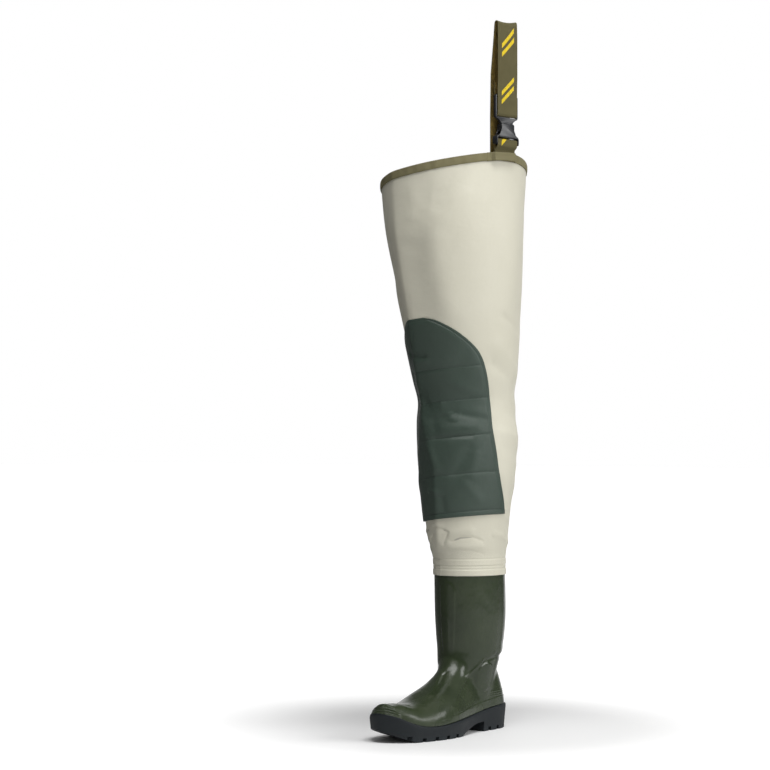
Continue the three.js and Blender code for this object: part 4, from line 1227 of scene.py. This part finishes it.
def pad_thickness(across, up, az, z):
    """Padding over the leg: full in the panels, sunk along the welded seams, the hem line and the line inside
    the outer edge."""
    tall = PAD_TOP - PAD_BOTTOM
    from_seam = np.min([np.abs(up - share) * tall for share in PAD_SEAMS], axis=0)
    round_front = ease((np.degrees(turned(az)) + 42) / 26)
    panel = PAD_THICK - PAD_SEAM * np.exp(-from_seam / PAD_PUFF) * round_front
    spread = read(PAD, up)["spread"]
    side = np.abs((1 - np.abs(across)) * spread * LEG_MM_PER_DEGREE)
    edge = np.minimum(side, (1 - up) * tall * 1.2)
    full = ease(edge / PAD_FILLET)
    weld = PAD_WELD * hump(edge - PAD_HEM, PAD_WELD)
    skirt = mix(0.25, 1, np.sqrt(np.clip(edge / PAD_SKIRT, 0, 1)))
    thick = mix(PAD_EDGE, panel, full) * skirt - weld
    pinch = PAD_WELD * hump(from_seam, PAD_WELD) * full * round_front
    return thick - pinch + folds(PAD_FOLDS, np.degrees(turned(az)), z, LEG_MM_PER_DEGREE) * full


def make_pad():
    across = np.linspace(-1, 1, 170)[None, :]
    up = np.linspace(0, 1, 240)[:, None]
    base = mix(PAD_BOTTOM, PAD_TOP, up)
    az = np.radians(PAD_ANGLE + across * read(PAD, up)["spread"])
    z = base + PAD_SLOPE * leg_point(az, base)[..., 0]
    under = leg_relief(az, z) + CLEAR
    outer = leg_point(az, z, under + pad_thickness(across, up, az, z))
    points = cushion(outer, leg_point(az, z, under))
    mesh = grid_mesh("pad_panel", points, cloth_place(points, cushion(az, az)), merge=True)
    cloth = coated_cloth("pad_fabric", PAD_GREEN, PAD_GREEN_WORN, 0.48, PAD_THREAD)
    pad = add_piece(mesh, "pad_fabric", cloth, stands_for=["knee_pad"])


# Collar binding


def make_binding():
    az = np.linspace(-np.pi, np.pi, 300, endpoint=False)[None, :]
    height = collar_height(az)
    face = CLEAR + BINDING_THICK
    pucker = 0.35 * np.sin(az * 47 + 2 * np.sin(3 * az)) + 0.25 * np.sin(az * 31 + 1.0)

    def ring(out, up, wave=0.0):
        at = leg_point(az, height + min(up, 0), leg_relief(az, height + min(up, 0)) + out + wave * pucker)
        at[..., 2] = height + up
        return at

    middle = (face - LEG_WALL - face) / 2
    half = (LEG_WALL + 2 * face) / 2
    down = np.linspace(-BINDING_HEIGHT, -1, 9)
    outer = [ring(CLEAR + 0.2, down[0]), ring(face - 0.3, down[0])]
    outer += [ring(face + 0.4 * np.sin(np.pi * (i + 0.5) / 9), up, 1.0) for i, up in enumerate(down)]
    turns = np.linspace(0, np.pi, 9)
    top = [ring(middle + half * np.cos(turn), face * 0.9 * np.sin(turn)) for turn in turns]
    inner = [ring(-LEG_WALL - face, up, -0.5) for up in down[::-1]]
    inside = [ring(-LEG_WALL - CLEAR, down[0]), ring(-LEG_WALL - CLEAR, CLEAR), ring(CLEAR, CLEAR)]
    points = np.concatenate([*outer, *top, *inner, *inside])
    around = full_turn(az) * COLLAR_RADIUS * MM
    rows = np.arange(len(points) + 1)[:, None] * 1.6 * MM
    flat = np.stack(np.broadcast_arrays(around, rows), axis=-1)
    mesh = grid_mesh("binding", points, flat, loop=True)
    add_piece(mesh, "binding_tape", binding_tape(), stands_for=["collar_binding"])


# Webbing and buckle

PATCH_HALF = 35  # half the length of the tape over the sewn end of the tab
PATCH_THICK = 1.1
PATCH_BLEND = 5  # over which it steps up over the webbing
PATCH_CLEAR = 0.15
CURL = 2.6  # how far the webbing's edges curl up at the top of the loop, and over what length
CURL_LENGTH = 30
CURL_LEAN = 0.4  # how much more the front edge curls than the rear one
CURL_RISE = 0.9
END_TUCK = 0.9  # width of the line that closes an end
EDGE = float(collar_height(np.radians(STRAP_ANGLE)))
STRAP_TOP = EDGE + STRAP_RISE
BUCKLE_BOTTOM = EDGE + BUCKLE_RISE
HALF_WEB = WEB_THICK / 2
SAG = STRAP_WIDTH**2 / (8 * COLLAR_HALF_WIDTH)
INSIDE = -(LEG_WALL + 3 * CLEAR + BINDING_THICK + SAG + HALF_WEB)
FRONT = BUCKLE_OUT + FRAME_THICK / 2 + CLEAR + HALF_WEB
REAR = BUCKLE_OUT - FRAME_THICK / 2 - CLEAR - HALF_WEB
FRAME_BOTTOM = BUCKLE_BOTTOM + FEMALE_HEIGHT + NECK_HEIGHT
WRAP_UNDER = FRAME_BOTTOM + BAR / 2 + SLOT - CLEAR - HALF_WEB - BAR_ROUND
HANG = leg_point(np.radians(STRAP_ANGLE), EDGE)


def bend(middle, radii, start, end, steps=16):
    """Points of an arc in (out, up), from one angle in degrees to another."""
    t = np.radians(np.linspace(start, end, steps))
    return np.stack([middle[0] + radii[0] * np.cos(t), middle[1] + radii[1] * np.sin(t)], axis=-1)


def even_path(parts, step=1.2, smooth=1.6):
    """A path through parts of points, at even steps, with its corners rounded by a running mean."""
    points = np.concatenate([np.atleast_2d(part) for part in parts]).astype(float)
    run = np.concatenate([[0], np.cumsum(np.hypot(*np.diff(points, axis=0).T))])
    at = np.linspace(0, run[-1], int(run[-1] / step))
    path = np.stack([np.interp(at, run, points[:, i]) for i in (0, 1)], axis=-1)
    reach = np.arange(-6, 7) * step
    weights = hump(reach, smooth * 1.5)
    padded = np.pad(path, ((6, 6), (0, 0)), mode="reflect", reflect_type="odd")
    return np.stack([np.convolve(padded[:, i], weights / weights.sum(), "valid") for i in (0, 1)], axis=-1)


def hang(local):
    """Points in (out, along the collar, up) at the strap's place, turned to the strap's facing."""
    turn = np.radians(STRAP_TURN)
    x = HANG[0] + local[..., 0] * np.cos(turn) - local[..., 1] * np.sin(turn)
    y = HANG[1] + local[..., 0] * np.sin(turn) + local[..., 1] * np.cos(turn)
    return np.stack([x, y, local[..., 2]], axis=-1)


def ribbon(name, path, curl):
    """Webbing along a path in (out, up): a flat section with round edges carried along it, with closed ends,
    and the number of its columns. flat runs across and along the webbing. curl lifts the section at each
    point of the path, most at its edges."""
    ahead = np.gradient(path, axis=0)
    ahead /= np.hypot(*ahead.T)[:, None]
    aside = np.stack([-ahead[:, 1], ahead[:, 0]], axis=-1)
    half = STRAP_WIDTH / 2
    side = np.linspace(-half + HALF_WEB, half - HALF_WEB, 25)
    cap = np.radians(np.linspace(-90, 90, 7))[1:-1]
    across = np.concatenate([side, half - HALF_WEB + HALF_WEB * np.cos(cap)])
    thick = np.concatenate([np.full(25, -HALF_WEB), HALF_WEB * np.sin(cap)])
    across, thick = np.concatenate([across, -across]), np.concatenate([thick, -thick])
    lift = np.broadcast_to(curl, len(path))
    shape = (across / half) ** 2 + CURL_LEAN * across / half + CURL_RISE
    section = path[:, None, :] + aside[:, None, :] * thick[None, :, None]
    up = section[..., 1] + lift[:, None] * shape[None, :]
    points = np.stack([section[..., 0], across[None, :] + 0 * up, up], axis=-1)

    def end(out, up):
        return np.stack(np.broadcast_arrays(out, across * END_TUCK, up), axis=-1)[None]

    points = np.concatenate([end(*path[0]), points, end(*path[-1])])
    run = np.concatenate([[0], np.cumsum(np.hypot(*np.diff(path, axis=0).T))])
    run = np.concatenate([[0], run, run[-1:]]) * MM
    wide = np.concatenate([across, across[:1]]) * MM
    flat = np.stack(np.broadcast_arrays(wide[None, :], run[:, None]), axis=-1)
    return grid_mesh(name, hang(points), flat, merge=True), len(across)


def add_web(name, node, path, finishes, curl=0.0):
    """A piece of webbing along a path, with a finish for each of its two faces: half of the columns each."""
    mesh, columns = ribbon(name, path, curl)
    add_piece(mesh, "webbing", *finishes, stands_for=[node])
    face = np.arange(len(mesh.polygons)) % columns < columns // 2
    mesh.polygons.foreach_set("material_index", face.astype(np.int32))


def make_webbing():
    outside = webbing("webbing", OLIVE, OLIVE_DARK, YELLOW, 0.62)
    reverse = webbing("webbing_reverse", GOLD_IN_SHADE, GOLD_DARK, GOLD_DARK, 1.1)
    finishes = (outside, reverse)
    fold = STRAP_TOP - FOLD_HALF

    def up(share):
        return mix(EDGE, fold, share)

    path = even_path([
        (INSIDE, EDGE - STRAP_SEWN),
        (INSIDE, up(0.28)),
        (INSIDE + 1.5, up(0.62)),
        (FRONT - 9, up(0.9)),
        bend((FRONT - FOLD_HALF, fold), (FOLD_HALF, FOLD_HALF - HALF_WEB), 180, 0),
        (FRONT + 0.8, up(0.9)),
        (FRONT + 0.8, up(0.62)),
        (FRONT, up(0.45)),
        bend((BUCKLE_OUT, WRAP_UNDER + 0.8), (FRONT - BUCKLE_OUT, 3.5), 0, -180),
        (REAR, WRAP_UNDER + TAIL_LENGTH),
    ])
    add_web("strap_web", "strap", path, finishes, CURL * hump(path[:, 1] - STRAP_TOP, CURL_LENGTH))
    near = CLEAR * 2 + BINDING_THICK + HALF_WEB
    bar = BUCKLE_BOTTOM + BAR
    loop = even_path([
        (near, EDGE - STRAP_SEWN),
        (near, EDGE + 4),
        bend((BUCKLE_OUT, bar + 1), (FRONT - BUCKLE_OUT, 1 + CLEAR + HALF_WEB + BAR_ROUND), 180, 0),
        (FRONT - 0.4, BUCKLE_BOTTOM - 2),
        (near + WEB_THICK + CLEAR, EDGE + 5),
        (near + WEB_THICK + CLEAR, EDGE - STRAP_SEWN),
    ], 0.8, 0.8)
    add_web("tab_web", "strap_tab", loop, finishes)


def make_patch():
    """A strip of tape over the sewn end of the tab: it lies on the binding and steps up over the webbing."""
    az = np.radians(STRAP_ANGLE + np.linspace(-28, 28, 200))
    around = leg_point(az, collar_height(az)) - HANG
    turn = np.radians(STRAP_TURN)
    line_out = around[:, 0] * np.cos(turn) + around[:, 1] * np.sin(turn)
    line_across = -around[:, 0] * np.sin(turn) + around[:, 1] * np.cos(turn)
    across = np.linspace(-1, 1, 90)[None, :] * PATCH_HALF
    rise = np.linspace(0, 1, 16)[:, None]
    collar = np.interp(across, line_across, line_out) + CLEAR + BINDING_THICK
    level = np.interp(across, line_across, collar_height(az))
    webbing_face = 2 * CLEAR + BINDING_THICK + 2 * WEB_THICK + 2 * CLEAR
    over = ease((STRAP_WIDTH / 2 + PATCH_BLEND - np.abs(across)) / PATCH_BLEND)
    lower = np.maximum(collar, mix(collar, webbing_face, over)) + PATCH_CLEAR
    from_edge = np.minimum(np.minimum(rise, 1 - rise) * 12, (PATCH_HALF - np.abs(across)) / 1.5)
    outer = lower + PATCH_THICK * np.sqrt(np.clip(from_edge, 0, 1))
    up = level + mix(-BINDING_HEIGHT - 0.6, 1.6, rise)

    def sheet(out):
        return hang(np.stack(np.broadcast_arrays(out, across, up), axis=-1))

    points = cushion(sheet(outer), sheet(lower))
    run = np.concatenate([across, across[:, ::-1], across[:, :1]], axis=1) * MM
    rows = np.arange(len(points))[:, None] * 1.2 * MM
    flat = np.stack(np.broadcast_arrays(run, rows), axis=-1)
    add_piece(grid_mesh("tape_patch", points, flat, merge=True), "binding_tape", binding_tape())


def softened_copy(node, name, width, material):
    """A copy of a hard node with its triangles joined to flats and its edges rounded."""
    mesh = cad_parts[node].data.copy()
    mesh.name = name
    mesh.materials.clear()
    work = opened(mesh)
    bmesh.ops.remove_doubles(work, verts=work.verts, dist=10 * MERGE_DISTANCE)
    bmesh.ops.dissolve_limit(work, angle_limit=np.radians(FLAT_ANGLE), verts=work.verts, edges=work.edges)
    closed(work, mesh)
    soften(add_piece(mesh, "buckle_plastic", material, stands_for=[node]), width, 25)


def make_buckle():
    plastic = buckle_plastic()
    softened_copy("buckle_female", "buckle_socket", 0.9, plastic)
    softened_copy("buckle_male", "buckle_prongs", 0.7, plastic)


# Camera, floor and light

VIEW_ANGLE = 38.2  # degrees that the camera stands round from the toe towards the outer side
VIEW_DISTANCE = 3739
VIEW_HEIGHT = 486
FOCAL_PIXELS = 2200
HORIZON_ROW = 440
ORIGIN_COLUMN = 478
PICTURE = 770
SENSOR = 36
BRIGHT_SIDE = 100  # middle of the room's bright side, in degrees round from the toe
BACKDROP_SIDE = 208
FLOOR_SIDE = 67
BRIGHT = 0.5
BACKDROP = 1.1
DIM = 0.18
FLOOR_WHITE = (0.93, 0.93, 0.93)
FLOOR_DIM = (0.27, 0.27, 0.27)
FLOOR_GLOW = (0.9, 0.9, 0.9)
FLOOR_REACH = 30.0  # metres
NEAR_GLOW = 0.55  # how much of the glow the camera sees from NEAR on, and FAR_GLOW of it from FAR on
NEAR = (0.22, 0.6)
FAR_GLOW = 0.4
FAR = (0.6, 2.4)
LIGHTS_AIM = (0, 0, 0.55)


def make_camera():
    """A level camera at the photograph's angle, tilted so that the horizon lies on its row, with the origin
    on its column."""
    angle = np.radians(VIEW_ANGLE)
    right = np.array([np.cos(angle), np.sin(angle), 0])
    ahead = np.array([-np.sin(angle), np.cos(angle), 0])
    aside = (ORIGIN_COLUMN - PICTURE / 2) * VIEW_DISTANCE / FOCAL_PIXELS
    place = -right * aside - ahead * VIEW_DISTANCE + np.array([0, 0, VIEW_HEIGHT])
    data = bpy.data.cameras.new("camera")
    data.sensor_width = SENSOR
    data.lens = FOCAL_PIXELS / PICTURE * SENSOR
    camera = placed("camera", data)
    camera.location = place * MM
    tilt = np.arctan2(HORIZON_ROW - PICTURE / 2, FOCAL_PIXELS)
    camera.rotation_euler = (np.pi / 2 + tilt, 0, angle)
    bpy.context.scene.camera = camera


def make_floor():
    """A wide pale floor. The camera sees it white out to the horizon, and the shoe is lit by it less on the
    inner side."""
    paint = Paint("floor_paint", Roughness=0.7, Emission_Strength=1.0)
    seen = paint.node("ShaderNodeLightPath", output="Is Camera Ray")
    far = paint.node("ShaderNodeVectorMath", {"operation": "LENGTH"}, {0: paint.place()}, "Value")
    side = paint.node("ShaderNodeVectorMath", {"operation": "NORMALIZE"}, {0: paint.place()})
    outer = paint.facing(side, FLOOR_SIDE, 0).soft(-0.25, 0.05)
    behind = paint.facing(side, BACKDROP_SIDE, 0).soft(0.85, 0.95) * far.soft(0.3, 0.8)
    lit = paint.blend(outer, FLOOR_DIM, FLOOR_WHITE)
    glow = (seen * (far.soft(*NEAR) * NEAR_GLOW + far.soft(*FAR) * FAR_GLOW)).most((1 - seen) * behind)
    paint.feed(
        Base_Color=paint.blend(seen, lit, FLOOR_WHITE),
        Emission_Color=paint.blend(glow, BLACK, FLOOR_GLOW),
    )
    mesh = bpy.data.meshes.new("floor")
    corners = [(x * FLOOR_REACH, y * FLOOR_REACH, 0) for x, y in ((-1, -1), (1, -1), (1, 1), (-1, 1))]
    mesh.from_pydata(corners, [], [(0, 1, 2, 3)])
    mesh.materials.append(paint.material)
    floor = placed("floor", mesh)
    floor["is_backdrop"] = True


def add_light(name, angle, distance, height, size, power):
    """A soft box at an angle round the object from the toe, facing the middle of the leg."""
    data = bpy.data.lights.new(name, "AREA")
    data.shape = "RECTANGLE"
    data.size, data.size_y = size
    data.energy = power
    light = placed(name, data)
    turn = np.radians(angle)
    light.location = (distance * np.sin(turn), -distance * np.cos(turn), height)
    towards = Vector(LIGHTS_AIM) - light.location
    light.rotation_euler = towards.to_track_quat("-Z", "Y").to_euler()


def make_light():
    """Soft studio light: a bright side of the room, a bright low backdrop, a dim rest, and two softboxes. The
    camera sees the room as white."""
    world = bpy.data.worlds.new("studio")
    bpy.context.scene.world = world
    shading = Shading(world)
    direction = shading.node("ShaderNodeTexCoord", output="Generated")
    side = shading.facing(direction, BRIGHT_SIDE, 0.7).soft(0.85, 1.1)
    backdrop = shading.facing(direction, BACKDROP_SIDE, 0.15).soft(0.86, 0.95)
    strength = side * (BRIGHT - DIM) + backdrop * (BACKDROP - DIM) + DIM
    room = shading.node("ShaderNodeBackground", None, {"Strength": strength})
    white = shading.node("ShaderNodeBackground", None, {"Color": (1, 1, 1, 1)})
    seen = shading.node("ShaderNodeLightPath", output="Is Camera Ray")
    both = shading.node("ShaderNodeMixShader", None, {0: seen, 1: room, 2: white})
    shading.node("ShaderNodeOutputWorld", None, {"Surface": both}, None)
    add_light("softbox_above", 48, 1.3, 3.0, (1.8, 1.8), 68)
    add_light("softbox_side", 98, 2.6, 1.25, (2.2, 0.8), 34)
    bpy.context.scene.view_settings.view_transform = "Standard"


make_camera()
make_floor()
make_light()
make_sole()
make_boot()
make_leg()
make_pad()
make_binding()
make_webbing()
make_patch()
make_buckle()
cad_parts["insole"].data.materials.clear()
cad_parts["insole"].data.materials.append(felt())

for corners in (cad_box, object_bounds()):
    str([[float(v) for v in corner] for corner in corners]) + "\n"
